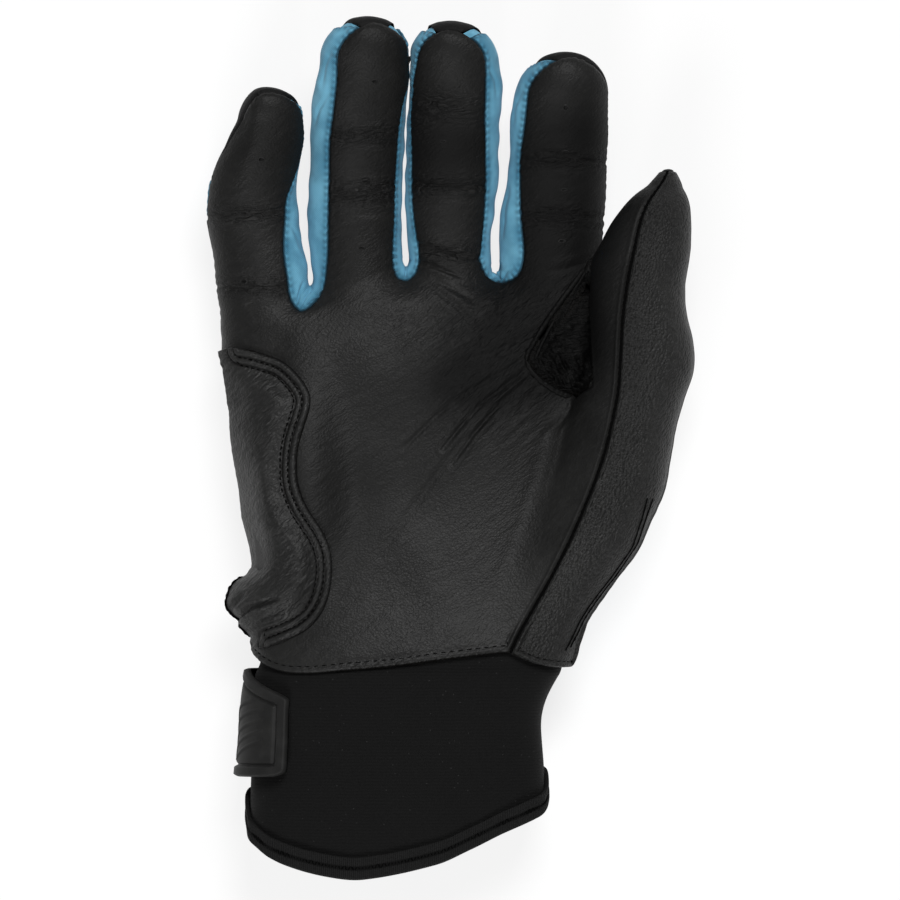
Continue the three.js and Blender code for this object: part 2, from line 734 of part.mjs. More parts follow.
fingers.forEach((finger, f) => {
  if (f > 0) finger.left = innerSide(finger, webs[f - 1], 1);
  if (f < fingers.length - 1) finger.right = innerSide(finger, webs[f], -1);
});
const [pinky, , , index] = fingers;
const pinkyRoot = pinky.right.palm[0].at.y;
const pinkyLevel = pinky.right.palm[crotchSteps].at.y;
pinky.left = outerSide(pinky, pinky.leftShares, pinkyRoot, pinkyLevel, false);
const indexRoot = gussetShares[0][1] * handLength;
const indexLevel = gussetTopShare * handLength;
index.right = outerSide(index, index.rightShares, indexRoot, indexLevel, true);

// Front of a finger: rows from root to tip, ending in the arc of the fingertip seam
function fingerFront(finger) {
  const { left, right } = finger;
  return [...Array(cornerRow + 1).keys()].map((row) => rounded(fingerColumns).map((u, j) => {
    if (j === 0) return left.palm[row];
    if (j === fingerColumns) return right.palm[row];
    if (row <= crotchSteps) {
      const y = mix(left.palm[row].at.y, right.palm[row].at.y, u);
      return sweep(axis(finger, y), left.palm[row], right.palm[row], u);
    }
    const arc = Math.sqrt(1 - (2 * u - 1) ** 2);
    const top = mix(finger.cornerShare, finger.apexShare, arc) * handLength;
    const start = mix(left.palm[crotchSteps].at.y, right.palm[crotchSteps].at.y, u);
    const y = mix(start, top, (row - crotchSteps) / fingerRows);
    const from = follow(finger.leftShares, y / handLength, 1);
    const to = follow(finger.rightShares, y / handLength, 1);
    return atTurn(finger, y, mix(from, to, u));
  }));
}
for (const finger of fingers) finger.front = fingerFront(finger);

// Along a straight stitch between two places
function stitched(a, b, share) {
  return {
    at: a.at.clone().lerp(b.at, share),
    out: a.out.clone().lerp(b.out, share).normalize(),
  };
}

// Over the fingertip: the palm seam's arc and the back seam that closes on it
function tipSide(finger, side) {
  const arc = finger.front[cornerRow];
  const order = side < 0 ? [0, 1, 2] : [fingerColumns, fingerColumns - 1, fingerColumns - 2];
  const [a, b, c] = order.map((j) => arc[j]);
  const origin = axis(finger, finger.roundShare * handLength);
  const from = (side < 0 ? finger.left : finger.right).back[cornerRow];
  const palm = [stitched(a, b, 1 / 2), b, stitched(b, c, 1 / 2), c];
  // The side piece ends at the top of the tip, turned so many degrees from straight ahead
  const turn = (side < 0 ? finger.leftEnd : finger.rightEnd) ?? 0;
  const end = hit(origin, vector(side * Math.sin(turn * degree), Math.cos(turn * degree), 0));
  const back = palm.map((_, k) => sweep(origin, from, end, (k + 1) / palm.length));
  return { palm, back, origin };
}

// Side piece between two fingers: down one finger, through the web and up the next
function sidePiece(f) {
  const a = fingers[f];
  const b = fingers[f + 1];
  const rows = [];
  const addTip = (tip, order) => {
    for (const k of order) rows.push([tip.palm[k], tip.back[k], tip.origin]);
  };
  const addSide = (finger, side, order) => {
    for (const k of order) rows.push([side.palm[k], side.back[k], axis(finger, side.palm[k].at.y), k]);
  };
  const up = [...Array(cornerRow + 1).keys()];
  addTip(a.rightTip, [3, 2, 1, 0]);
  addSide(a, a.right, [...up].reverse());
  addSide(b, b.left, up.slice(1));
  addTip(b.leftTip, [0, 1, 2, 3]);
  // In the web the rows are seen from a bed in the flesh, and go round its free edge
  const depth = webBedShare * palmWidth;
  const bottom = webs[f].palm[crotchSteps].at;
  const mouth = a.right.palm[crotchSteps].at.clone().lerp(b.left.palm[crotchSteps].at, 1 / 2);
  const bed = vector(bottom.x, bottom.y - depth, fingerHeight);
  const end = hit(bed, vector(0, 1, 0)).at.y;
  rows.forEach((row, i) => {
    const [spot, , origin, k] = row;
    if (!(k < crotchSteps)) return;
    const run = rows[i + 1][0].at.clone().sub(rows[i - 1][0].at).setZ(0).normalize();
    origin.set(spot.at.x + run.y * depth, spot.at.y - run.x * depth, origin.z);
    row.push(vector(mouth.x, mix(end, mouth.y, k / crotchSteps), origin.z));
  });
  const sheet = newSheet();
  addGrid(sheet, rows.map(([palm, back, origin, , past], i) => spread(sideColumns).map((u, j) => {
    if (j === 0) return palm;
    if (j === sideColumns) return back;
    if (i === 0 || i === rows.length - 1) return stitched(palm, back, u);
    return past ? sweepPast(origin, palm, past, back, u) : sweep(origin, palm, back, u);
  })));
  return sheet;
}

for (const finger of fingers) {
  finger.leftTip = tipSide(finger, -1);
  finger.rightTip = tipSide(finger, 1);
}

// Back of a finger, from its root up over the tip to the seam on the palm side
function fingerBack(finger) {
  const arc = finger.front[cornerRow];
  const origin = axis(finger, finger.roundShare * handLength);
  let ends = arc.slice(2, fingerColumns - 1);
  if (finger === pinky) ends = [...arc.slice(0, 2), ...ends];
  else ends = [finger.leftTip.back[tipRows - 1], ...ends];
  if (finger === index) ends = [...ends, ...arc.slice(fingerColumns - 1)];
  else ends = [...ends, finger.rightTip.back[tipRows - 1]];
  const count = ends.length - 1;
  const rows = [...Array(cornerRow + 1).keys()].map((row) => spread(count).map((u, j) => {
    const a = finger.left.back[row];
    const b = finger.right.back[row];
    if (j === 0) return a;
    if (j === count) return b;
    return sweep(axis(finger, mix(a.at.y, b.at.y, u)), a, b, u);
  }));
  for (let k = 0; k < tipRows; k += 1) {
    rows.push(ends.map((end, j) => {
      if (k === tipRows - 1) return end;
      if (j === 0) return finger === pinky ? rows[cornerRow][0] : finger.leftTip.back[k];
      if (j === count) return finger === index ? rows[cornerRow][count] : finger.rightTip.back[k];
      return sweep(origin, rows[cornerRow][j], end, (k + 1) / tipRows * tipBackShare);
    }));
  }
  return rows;
}
for (const finger of fingers) finger.rear = fingerBack(finger);

// Thumb: seam between the palm and the thumb's outer piece, from the hem (row 0) to the tip
const seamPlaces = thumbSeamShares.map(([across, along]) => front(across, along));
const lastRow = seamPlaces.length - 1;
const stripRow = thumbSeamShares.findIndex((point) => point[1] >= stripStartShare);
const backRow = thumbSeamShares.findIndex((point) => point[1] >= thumbBackShare);
const hemAt = (x) => follow(hemShares, x / palmWidth, 1) * handLength;
const radialPlaces = seamPlaces.map((spot, k) => {
  const y = k > 0 ? spot.at.y : hemAt(palmWidth);
  return atTurn(thumb, y, follow(radialShares, y / handLength, 1));
});
const gussetPlaces = gussetShares.map(([across, along]) => front(across, along));
gussetPlaces[0] = index.right.palm[0];
const creasePlaces = seamPlaces.map((spot, k) => {
  if (k < stripRow) return null;
  if (k === stripRow) return gussetPlaces[gussetPlaces.length - 1];
  return atTurn(thumb, spot.at.y, follow(creaseShares, spot.at.y / handLength, 1));
});

function thumbGrid(from, to, first, count) {
  const rows = [];
  for (let k = first; k <= lastRow; k += 1) {
    rows.push(spread(count).map((u, j) => {
      if (j === 0) return from[k];
      if (j === count) return to[k];
      const y = mix(from[k].at.y, to[k].at.y, u);
      return sweep(axis(thumb, y), from[k], to[k], u);
    }));
  }
  return rows;
}
const strip = thumbGrid(creasePlaces, seamPlaces, stripRow, stripColumns);
const outer = thumbGrid(seamPlaces, radialPlaces, 0, outerColumns);
outer[0] = outer[0].map((spot, j) => {
  if (j === 0 || j === outerColumns) return spot;
  const x = mix(seamPlaces[0].at.x, radialPlaces[0].at.x, Math.sin(j / outerColumns * Math.PI / 2));
  return laid(x, hemAt(x), 1);
});
// The thumb's own back starts on a slant, from a corner of the fork
const forkBack = forkShares.map(([across, along]) => below(across * palmWidth, along * handLength));
const forkCorner = forkBack.length - 1;
const slantRow = backRow - slantRows;
const rearPlaces = creasePlaces.map((spot, k) => {
  if (k >= backRow) return spot;
  if (k <= slantRow) return forkBack[forkCorner];
  const share = (k - slantRow) / slantRows;
  return sweep(axis(thumb, creasePlaces[backRow].at.y), forkBack[forkCorner], creasePlaces[backRow], share);
});
const thumbRear = thumbGrid(radialPlaces, rearPlaces, slantRow, thumbBackColumns);

// Hand: ulnar side seam, hem, and the edge along the gusset and the thumb
function patch(top, right, bottom, left, side) {
  const rows = left.length - 1;
  const columns = top.length - 1;
  return left.map((_, i) => top.map((__, j) => {
    if (i === 0) return top[j];
    if (i === rows) return bottom[j];
    if (j === 0) return left[i];
    if (j === columns) return right[i];
    const u = j / columns;
    const v = i / rows;
    const blend = (key) => mix(left[i].at[key], right[i].at[key], u)
      + mix(top[j].at[key], bottom[j].at[key], v)
      - mix(mix(top[0].at[key], top[columns].at[key], u),
        mix(bottom[0].at[key], bottom[columns].at[key], u), v);
    return laid(blend('x'), blend('y'), side);
  }));
}

function sidePlace(y) {
  const { x, z } = palmSection(y);
  return hit(vector(x, y, z), vector(-1, 0, 0));
}

const palmTop = [pinky.front[0][0], ...fingers.flatMap((finger) => finger.front[0].slice(1))];
const palmRight = [...gussetPlaces, ...strip[0].slice(1), ...seamPlaces.slice(0, stripRow).reverse()];
const palmRows = palmRight.length - 1;
const hemLeft = hemAt(-palmWidth);
const rootY = palmTop[0].at.y;
const palmLeft = palmRight.map((spot, i) => {
  const even = i / palmRows;
  const level = (palmRight[0].at.y - spot.at.y) / (palmRight[0].at.y - palmRight[palmRows].at.y);
  return i === 0 ? palmTop[0] : sidePlace(mix(rootY, hemLeft, (even + level) / 2));
});

// Hem row under a given top row, spaced like it
function hemRow(top, first, last, side) {
  const columns = top.length - 1;
  return top.map((spot, j) => {
    if (j === 0) return first;
    if (j === columns) return last;
    const share = (spot.at.x - top[0].at.x) / (top[columns].at.x - top[0].at.x);
    const x = mix(first.at.x, last.at.x, share);
    return laid(x, side > 0 ? hemAt(x) : mix(first.at.y, last.at.y, share), side);
  });
}
const palmHem = hemRow(palmTop, palmLeft[palmRows], seamPlaces[0], 1);
const palmGrid = patch(palmTop, palmRight, palmHem, palmLeft, 1);

const palm = newSheet();
for (const finger of fingers) addGrid(palm, finger.front);
addGrid(palm, palmGrid);
addGrid(palm, strip);
sew('palm_leather', palm, blackLeather);

for (let f = 0; f < fingers.length - 1; f += 1) {
  sew(`fourchette_${fingers[f].name}_${fingers[f + 1].name}`, sidePiece(f), blueFabric, 0, stretchFabric);
}

const thumbOuter = newSheet();
addGrid(thumbOuter, outer);
sew('thumb_outer', thumbOuter, grainLeather);

// The thumb's back also closes over its tip
const thumbBack = newSheet();
addGrid(thumbBack, thumbRear);
const crown = hit(axis(thumb, thumb.roundShare * handLength), vector(0, 1, 0));
const ring = [...thumbRear[thumbRear.length - 1], ...strip[strip.length - 1].slice(1),
  ...outer[lastRow].slice(1)];
ring.forEach((spot, k) => {
  if (k === 0) return;
  addCells(thumbBack, [ring[k - 1], spot, crown], [[0, 1, 2]]);
});
sew('thumb_back', thumbBack, backFabric, 0, leather);

// Gusset in the fork of the thumb
const gussetFront = [...index.right.palm.slice(1, crotchSteps + 1).reverse(), ...gussetPlaces];
const gussetRear = [...index.right.back.slice(0, crotchSteps + 1).reverse(), ...forkBack,
  ...rearPlaces.slice(slantRow + 1, backRow), ...creasePlaces.slice(stripRow, backRow + 1).reverse()];
const gusset = newSheet();
addGrid(gusset, gussetFront.map((a, i) => {
  const b = gussetRear[i];
  const shares = forkBedShares[i - crotchSteps - 1];
  const past = vector(0, 0, 0);
  const end = vector(0, 0, 0);
  let start = vector(forkInnerShare * palmWidth, (a.at.y + b.at.y) / 2, fingerHeight);
  if (i <= crotchSteps) start = axis(index, a.at.y);
  if (shares) {
    start.set(a.at.x, a.at.y, fingerHeight);
    end.set(shares[0] * palmWidth, shares[1] * handLength, shares[2] * palmDepth);
    past.set(shares[3] * palmWidth, shares[4] * handLength, shares[5] * palmDepth);
  }
  return spread(gussetColumns).map((u, j) => {
    if (j === 0) return a;
    if (j === gussetColumns) return b;
    return shares ? sweepBetween(start, end, a, past, b, u) : sweep(start, a, b, u);
  });
}));
sew('thumb_gusset', gusset, blackLeather, 0, leather, gussetInset);

// Back of the hand and of the fingers
const rearTop = [pinky.rear[0][0], ...fingers.flatMap((finger) => finger.rear[0].slice(1))];
const rearRight = [index.right.back[0], ...forkBack.slice(0, -1), ...[...thumbRear[0]].reverse(),
  ...radialPlaces.slice(0, slantRow).reverse()];
const rearHem = hemRow(rearTop, palmLeft[palmRows], radialPlaces[0], -1);
const rearGrid = patch(rearTop, rearRight, rearHem, palmLeft, -1);
const trimRow = rearGrid.length - 1 - trimRows;
const trimColumn = rearTop.length - 1 - trimColumns;
const rear = newSheet();
for (const finger of fingers) addGrid(rear, finger.rear.slice(0, finger.jointRows[0] + 1));
addGrid(rear, rearGrid.slice(0, trimRow + 1));
addGrid(rear, rearGrid.slice(trimRow).map((row) => row.slice(0, trimColumn + 1)));
sew('back_leather', rear, backFabric);
const trim = newSheet();
addGrid(trim, rearGrid.slice(trimRow).map((row) => row.slice(trimColumn)));
sew('wrist_trim', trim, blueFabric);

for (const finger of fingers) {
  const [low, high] = finger.jointRows;
  const insert = newSheet();
  addGrid(insert, finger.rear.slice(low, high + 1));
  sew(`knuckle_${finger.name}`, insert, blueFabric, 0, stretchFabric);
  const tip = newSheet();
  addGrid(tip, finger.rear.slice(high));
  sew(`tip_${finger.name}`, tip, backFabric);
}

// Padded patch on the heel of the hand: a leather overlay, and the foam under its middle.
// It is laid out between the ulnar side and its curved outer edge.
const heelEdge = heelEdgeShares.map(([across, along]) => front(across, along));
const heelRows = heelEdge.length - 1;
const heelSide = spread(heelRows).map((t) => {
  const y = mix(heelTopShare, heelEndShare, t) * handLength;
  const { x, z } = palmSection(y);
  return hit(vector(x, y, z), vector(-1, 0, Math.tan(heelSideTurn * degree)));
});
function heelPlace(u, v) {
  const row = Math.min(Math.floor(v * heelRows), heelRows - 1);
  const t = v * heelRows - row;
  const a = heelSide[row].at.clone().lerp(heelSide[row + 1].at, t);
  const b = heelEdge[row].at.clone().lerp(heelEdge[row + 1].at, t);
  const bow = Math.sin(u * Math.PI) * (1 - 2 * v) * heelBowShare * palmWidth;
  return laid(mix(a.x, b.x, 1 - Math.cos(u * Math.PI / 2)), mix(a.y, b.y, u ** 2) + bow, 1);
}
const ramp = (value) => clamp(value, 0, 1);
function withPuff(spot, u, v) {
  const rise = Math.min(ramp(u / padInsetShare), ramp((1 - u) / padInsetShare),
    ramp(v / padInsetShare), ramp((1 - v) / padInsetShare));
  const foldY = foldShare * handLength;
  const fold = foldRise * Math.exp(-(((spot.at.y - foldY) / foldLength) ** 2)) * (1 - u) ** 2;
  return { ...spot, more: { puff: rise * (foam + heelGap) + fold } };
}
const heelPatch = newSheet();
addGrid(heelPatch, spread(heelRows).map((v, i) => spread(heelColumns).map((u, j) => {
  let spot = heelPlace(u, v);
  if (j === 0) spot = heelSide[i];
  if (j === heelColumns) spot = heelEdge[i];
  return withPuff(spot, u, v);
})));
const puff = (spot) => leather + heelGap + spot.puff;
sew('heel_patch', heelPatch, blackLeather, puff, (spot) => puff(spot) + leather);
const heelPad = newSheet();
addGrid(heelPad, spread(heelRows).slice(3, -3).map((v) => {
  return spread(heelColumns).slice(2, -2).map((u) => heelPlace(u, v));
}));
sew('heel_pad', heelPad, { color: 0x3a3a3c, roughness: 0.9, metalness: 0 },
  leather + heelGap, leather + heelGap + foam);

// Cuff: a neoprene tube under the leather, slit up the back, with its edge bound
function wrist(turn, y) {
  const { x, z, half, deep } = palmSection(y);
  const angle = turn * degree;
  return hit(vector(x, y, z), vector(Math.sin(angle) * half, 0, Math.cos(angle) * deep));
}
const wristHalf = palmSection(-cuffLength / 2).half;
const slitTurn = Math.asin(slitWidth / 2 / wristHalf) / degree;
const cuffTurns = spread(cuffColumns).map((t) => mix(slitTurn - 180, 180 - slitTurn, t));
const cuffEnd = (turn) => -follow(cuffEdgeShares, turn, 1) * cuffLength;
const cuffSheet = newSheet();
const cuffGrid = [0, 1 / 2, 1, 2, ...spread(cuffRows).slice(1).map((t) => 2 + t)].map((level) => {
  return cuffTurns.map((turn) => {
    const { x } = wrist(turn, 0).at;
    const hem = Math.abs(turn) < 90 ? hemAt(x) : mix(hemLeft, hemAt(palmWidth),
      (x - palmLeft[palmRows].at.x) / (radialPlaces[0].at.x - palmLeft[palmRows].at.x));
    const end = cuffEnd(turn) + webbing + layerGap;
    const tuck = Math.max(1 - level, 0);
    const y = level > 1 ? mix(-slitTop, end, level - 2) : hem + mix(-cuffTuck / 2, cuffTuck, tuck);
    return { ...wrist(turn, y), more: { ease: level > 1 ? 0 : tuckEase } };
  });
});
addGrid(cuffSheet, cuffGrid);
addGrid(cuffSheet, cuffGrid.slice(0, 4).map((row) => [row[cuffColumns], row[0]]));
const under = (spot) => -layerGap - spot.ease;
sew('cuff_body', cuffSheet, blackNeoprene, (spot) => under(spot) - neoprene, under);

// Folded tape over the cuff's edge: a channel carried round from one side of the slit to the other
const inner = -layerGap * 2 - neoprene;
const channel = [
  [webbing, bindingWidth], [webbing, 0], [inner - webbing, 0], [inner - webbing, bindingWidth],
  [inner, bindingWidth], [inner, webbing], [0, webbing], [0, bindingWidth],
];
const tape = { positions: [], index: [] };
cuffTurns.forEach((turn) => {
  for (const [offset, rise] of channel) {
    const spot = wrist(turn, cuffEnd(turn) + rise);
    tape.positions.push(...spot.at.clone().addScaledVector(spot.out, offset));
  }
});
const corners = channel.length;
for (let i = 0; i < cuffColumns; i += 1) {
  for (let k = 0; k < corners; k += 1) {
    const a = i * corners + k;
    const b = i * corners + (k + 1) % corners;
    tape.index.push(a, b, b + corners, a, b + corners, a + corners);
  }
}
for (const [a, b, c, d] of [[0, 1, 6, 7], [1, 2, 5, 6], [2, 3, 4, 5]]) {
  const end = cuffColumns * corners;
  tape.index.push(c, b, a, d, c, a);
  tape.index.push(end + a, end + b, end + c, end + a, end + c, end + d);
}
const binding = new THREE.BufferGeometry();
binding.setAttribute('position', new THREE.Float32BufferAttribute(tape.positions, 3));
binding.setIndex(tape.index);
add('cuff_binding', binding, { color: 0x1c1c1e, roughness: 0.9, metalness: 0 });

// Strap: sewn on the thumb side of the slit, across the back and round the little-finger side,
// where its moulded tab carries the hook pad that holds on the loop patch
const tabMiddle = -tabDrop - tabHeight / 2;
function strapSheet(fromTurn, toTurn, columns, width, rows, shape = () => [1, 1]) {
  const sheet = newSheet();
  addGrid(sheet, spread(rows).map((v) => spread(columns).map((u) => {
    const [upper, lower] = shape(u);
    const y = tabMiddle + mix(width / 2 * upper, -width / 2 * lower, v);
    const spot = wrist(mix(fromTurn, toTurn, u), y);
    return { ...spot, more: { u, v } };
  })));
  return sheet;
}
// The tab's end is cut back at its corners, and the hook pad's with it
const tabShape = (u) => {
  const cut = ramp((u - tabCutShare) / (1 - tabCutShare));
  return [1 - cut * tabCutUpperShare, 1 - cut ** 2 * tabCutLowerShare];
};
const loopTop = loopGauge;
const hookLow = loopTop + layerGap;
const tabLow = hookLow + hookGauge + layerGap;
sew('loop_patch', strapSheet(loopStart, loopEnd, tabColumns, strapWidth - padInset, 1),
  { color: 0x1b1b1d, roughness: 0.95, metalness: 0 }, 0, loopTop);
sew('hook_pad', strapSheet(tabStart + padTurn, tabEnd - padTurn, tabColumns, strapWidth, 1, tabShape),
  { color: 0x17171a, roughness: 0.8, metalness: 0 }, hookLow, hookLow + hookGauge);
const climb = (spot) => tabLow * ramp(spot.u / climbShare);
sew('strap_band', strapSheet(strapStart, tabStart, strapColumns, strapWidth, 2),
  { color: 0x222224, roughness: 0.85, metalness: 0 }, climb, (spot) => climb(spot) + webbing);

// The tab's face has a raised border
const rimmed = (spot) => {
  const rim = spot.v < tabRimShare || spot.v > 1 - tabRimShare || spot.u > 1 - tabRimShare
    || spot.u < tabRimShare / 2;
  return tabLow + rubber + (rim ? tabRim : 0);
};
sew('pull_tab', strapSheet(tabStart, tabEnd, tabColumns, tabHeight, tabRows, tabShape),
  blackRubber, tabLow, rimmed);

// The origin goes to the bottom centre of the box
const box = new THREE.Box3().setFromObject(group);
const centre = box.getCenter(new THREE.Vector3());
for (const mesh of group.children) mesh.geometry.translate(-centre.x, -centre.y, -box.min.z);

export default group;
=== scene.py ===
import math

import bmesh
import bpy
import numpy as np
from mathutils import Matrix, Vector, kdtree
from mathutils.bvhtree import BVHTree


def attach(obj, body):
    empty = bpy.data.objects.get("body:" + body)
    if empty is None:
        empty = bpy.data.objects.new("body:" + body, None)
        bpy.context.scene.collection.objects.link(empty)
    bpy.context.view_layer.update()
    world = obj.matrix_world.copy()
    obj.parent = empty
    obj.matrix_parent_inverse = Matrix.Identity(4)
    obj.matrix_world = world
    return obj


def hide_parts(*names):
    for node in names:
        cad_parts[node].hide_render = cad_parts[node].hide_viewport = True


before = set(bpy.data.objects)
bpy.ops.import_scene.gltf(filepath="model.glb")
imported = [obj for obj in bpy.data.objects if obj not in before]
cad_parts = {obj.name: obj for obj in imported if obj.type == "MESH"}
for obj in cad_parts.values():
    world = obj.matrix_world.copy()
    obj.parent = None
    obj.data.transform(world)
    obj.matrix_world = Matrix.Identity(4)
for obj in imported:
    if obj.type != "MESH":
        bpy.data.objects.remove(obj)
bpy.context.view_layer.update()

# Hand form of the glove, in millimetres with Y from the wrist hem, as the pieces were cut for it
PALM_BREADTH = 106
HAND_LENGTH = 178
PALM_DEPTH = 31
PALM_HOLLOW = 2.2
HEEL_RISE = 35.5
FORK_HEIGHT = 19
FORK_DEPTH = 8
THUMB_HEIGHT = 22
THUMB_RISE = 15
FINGER_HEIGHT = 16
FINGER_CURL = 19
TABLE_BLEND = 3
BODY_BLEND = 7
ROOT_BLEND = 5
CLEAR_BLEND = 2
KNUCKLE_END = 10
PALM_SQUARE = 2.6
UNDERSIDE = -0.06  # share of the palm's depth
LEATHER = 1.2
STRETCH = 0.9
NEOPRENE = 2.6
WEBBING = 1.0
LAYER_GAP = 0.3
SEAM_GAP = 0.36
HEEL_GAP = 0.8
FOAM = 1.8
CUFF_LENGTH = 61.6
LOOP_GAUGE = 0.5
HOOK_GAUGE = 1.2
STRAP_STACK = LAYER_GAP * 4 + LOOP_GAUGE + HOOK_GAUGE + WEBBING
WRIST_LIFT = STRAP_STACK + 1
SHIFT = np.array([0.048, -58.007, 0.0])

# Where the fingers and the thumb leave the hand, as shares of its length, and how flat they are
FINGER_ROOT = 0.56
THUMB_ROOT = 0.05
ROOT_REACH = 0.16
FINGER_FLAT = 0.82
THUMB_FLAT = 0.88

# Place and half sizes of the mounds and of the palm's dip, as shares of breadth and length
HEEL_MOUND = (-0.375, 0.252, 0.12, 0.236)
FORK_MOUND = (0.4, 0.5, 0.1, 0.096)
PALM_DIP = (-0.05, 0.36, 0.26, 0.2)

# The picture: its size in pixels, millimetres of the glove to one of them, and the form's axes in it
PICTURE = 900
PIXEL = 0.28
MIDDLE_COLUMN, HEM_ROW = 450, 660

# Distances of the heel patch's two stitched rows from its edge, and of the row along the hem
HEEL_ROWS = (2.3, 4.5)
HEM_SEAM = 1.75

# Sections of the fingers: share of the hand's length, then middle and half width as shares of its breadth
FINGERS = {
    "pinky": dict(tip=0.899, round=0.849, curl=0.8, line=[
        (0.519, -0.497, 0.118), (0.566, -0.499, 0.122), (0.597, -0.497, 0.128),
        (0.629, -0.502, 0.126), (0.66, -0.512, 0.124), (0.692, -0.518, 0.126),
        (0.723, -0.522, 0.123), (0.755, -0.519, 0.122), (0.786, -0.509, 0.121),
        (0.818, -0.494, 0.115), (0.849, -0.483, 0.102), (0.899, -0.483, 0.102)]),
    "ring": dict(tip=1.009, round=0.943, curl=1, line=[
        (0.535, -0.232, 0.118), (0.597, -0.239, 0.124), (0.66, -0.249, 0.128),
        (0.723, -0.249, 0.129), (0.755, -0.246, 0.127), (0.786, -0.243, 0.128),
        (0.818, -0.242, 0.129), (0.849, -0.239, 0.129), (0.881, -0.236, 0.129),
        (0.912, -0.225, 0.125), (0.943, -0.222, 0.122), (1.009, -0.213, 0.122)]),
    "middle": dict(tip=1.002, round=0.94, curl=1, line=[
        (0.535, 0, 0.112), (0.597, 0, 0.111), (0.629, 0.003, 0.113), (0.66, 0, 0.115),
        (0.692, 0.002, 0.12), (0.723, 0.004, 0.125), (0.755, 0.008, 0.128), (0.786, 0.009, 0.127),
        (0.818, 0.01, 0.127), (0.849, 0.012, 0.127), (0.881, 0.019, 0.127), (0.912, 0.017, 0.125),
        (0.94, 0.015, 0.121), (1.002, 0.003, 0.119)]),
    "index": dict(tip=0.954, round=0.881, curl=0.9, line=[
        (0.55, 0.269, 0.134), (0.597, 0.266, 0.136), (0.629, 0.266, 0.136), (0.66, 0.268, 0.139),
        (0.692, 0.271, 0.139), (0.723, 0.278, 0.137), (0.755, 0.284, 0.133),
        (0.786, 0.287, 0.131), (0.818, 0.29, 0.133), (0.849, 0.291, 0.132),
        (0.881, 0.296, 0.128), (0.954, 0.309, 0.126)]),
}
# The same for the thumb, with the share of its rise
THUMB = dict(tip=0.775, round=0.739, line=[
    (-0.157, 0.132, 0.106, 0), (-0.063, 0.153, 0.114, 0), (0, 0.195, 0.124, 0),
    (0.031, 0.217, 0.127, 0), (0.079, 0.254, 0.132, 0), (0.126, 0.304, 0.143, 0),
    (0.173, 0.349, 0.153, 0.02), (0.22, 0.383, 0.153, 0.05), (0.267, 0.415, 0.153, 0.1),
    (0.314, 0.436, 0.148, 0.17), (0.362, 0.454, 0.143, 0.26), (0.409, 0.478, 0.143, 0.36),
    (0.456, 0.502, 0.143, 0.46), (0.495, 0.505, 0.137, 0.55), (0.535, 0.498, 0.128, 0.65),
    (0.582, 0.497, 0.125, 0.76), (0.621, 0.502, 0.127, 0.83), (0.645, 0.515, 0.119, 0.87),
    (0.676, 0.53, 0.107, 0.92), (0.7, 0.543, 0.091, 0.95), (0.723, 0.555, 0.071, 0.98),
    (0.739, 0.565, 0.055, 1), (0.775, 0.576, 0.055, 1)])
# The same for the palm and the wrist, with the shares of the wrist's lift and of the palm's depth
PALM = [
    (-0.377, -0.136, 0.405, 1, 1.25), (-0.212, -0.136, 0.402, 1, 1.25),
    (-0.134, -0.137, 0.396, 1, 1.25), (-0.063, -0.132, 0.401, 1, 1.24),
    (0, -0.102, 0.419, 1, 1.21), (0.031, -0.103, 0.42, 0.85, 1.18),
    (0.094, -0.108, 0.42, 0.4, 1.11), (0.173, -0.1, 0.412, 0, 1.07),
    (0.252, -0.103, 0.425, 0, 1.03), (0.33, -0.104, 0.447, 0, 1.03),
    (0.409, -0.09, 0.474, 0, 1.01), (0.487, -0.1, 0.505, 0, 0.97),
    (0.566, -0.097, 0.518, 0, 0.87), (0.629, -0.097, 0.518, 0, 0.84)]
# Where the palm ends between the fingers: share of the breadth, share of the length
WEBS = [(-0.615, 0.565), (-0.391, 0.583), (-0.116, 0.605), (0.14, 0.6), (0.33, 0.61), (0.42, 0.606)]
# The cuff's lower edge: degrees round the wrist, share of the cuff's length
CUFF_EDGE = [
    (-180, 0.64), (-120, 0.69), (-90, 0.727), (-80, 0.795), (-63, 0.864), (-46, 0.932),
    (-27, 0.987), (-13, 1), (15, 0.932), (28, 0.864), (41, 0.795), (54, 0.75), (77, 0.692),
    (90, 0.63), (120, 0.6), (180, 0.62)]


def follow(rows, along, column):
    """Smooth curve through the rows of a table, level past its ends"""
    table = np.array(rows, float)
    x, v = table[:, 0], table[:, column]
    along = np.clip(along, x[0], x[-1])
    before, after = np.maximum(np.arange(len(x)) - 1, 0), np.minimum(np.arange(len(x)) + 1, len(x) - 1)
    slope = (v[after] - v[before]) / (x[after] - x[before])
    i = np.clip(np.searchsorted(x, along, side="right") - 1, 0, len(x) - 2)
    span = x[i + 1] - x[i]
    t = (along - x[i]) / span
    a, b, left, right = v[i], v[i + 1], slope[i] * span, slope[i + 1] * span
    cubic = 2 * (a - b) + left + right
    return a + t * (left + t * (b - a - left - cubic + t * cubic))


def smooth_min(a, b, blend):
    """The smaller of two distances, rounded where they cross"""
    h = np.maximum(blend - np.abs(a - b), 0) / blend
    return np.minimum(a, b) - h * h * blend / 4


def smooth(value):
    """Eased step of a share from 0 to 1"""
    t = np.clip(value, 0, 1)
    return t * t * (3 - 2 * t)


def bump(distance, width):
    """1 at no distance, falling off smoothly over about the width"""
    return np.exp(-(distance / width) ** 2)


def plan(column, row):
    """Place on the plan of the hand form for a place in the picture"""
    return (column - MIDDLE_COLUMN) * PIXEL, (HEM_ROW - row) * PIXEL


def picture_row(y):
    return HEM_ROW - y / PIXEL


def run_along(line):
    """Length along a line at each of its places"""
    return np.concatenate([[0], np.cumsum(np.linalg.norm(np.diff(line, axis=0), axis=1))])


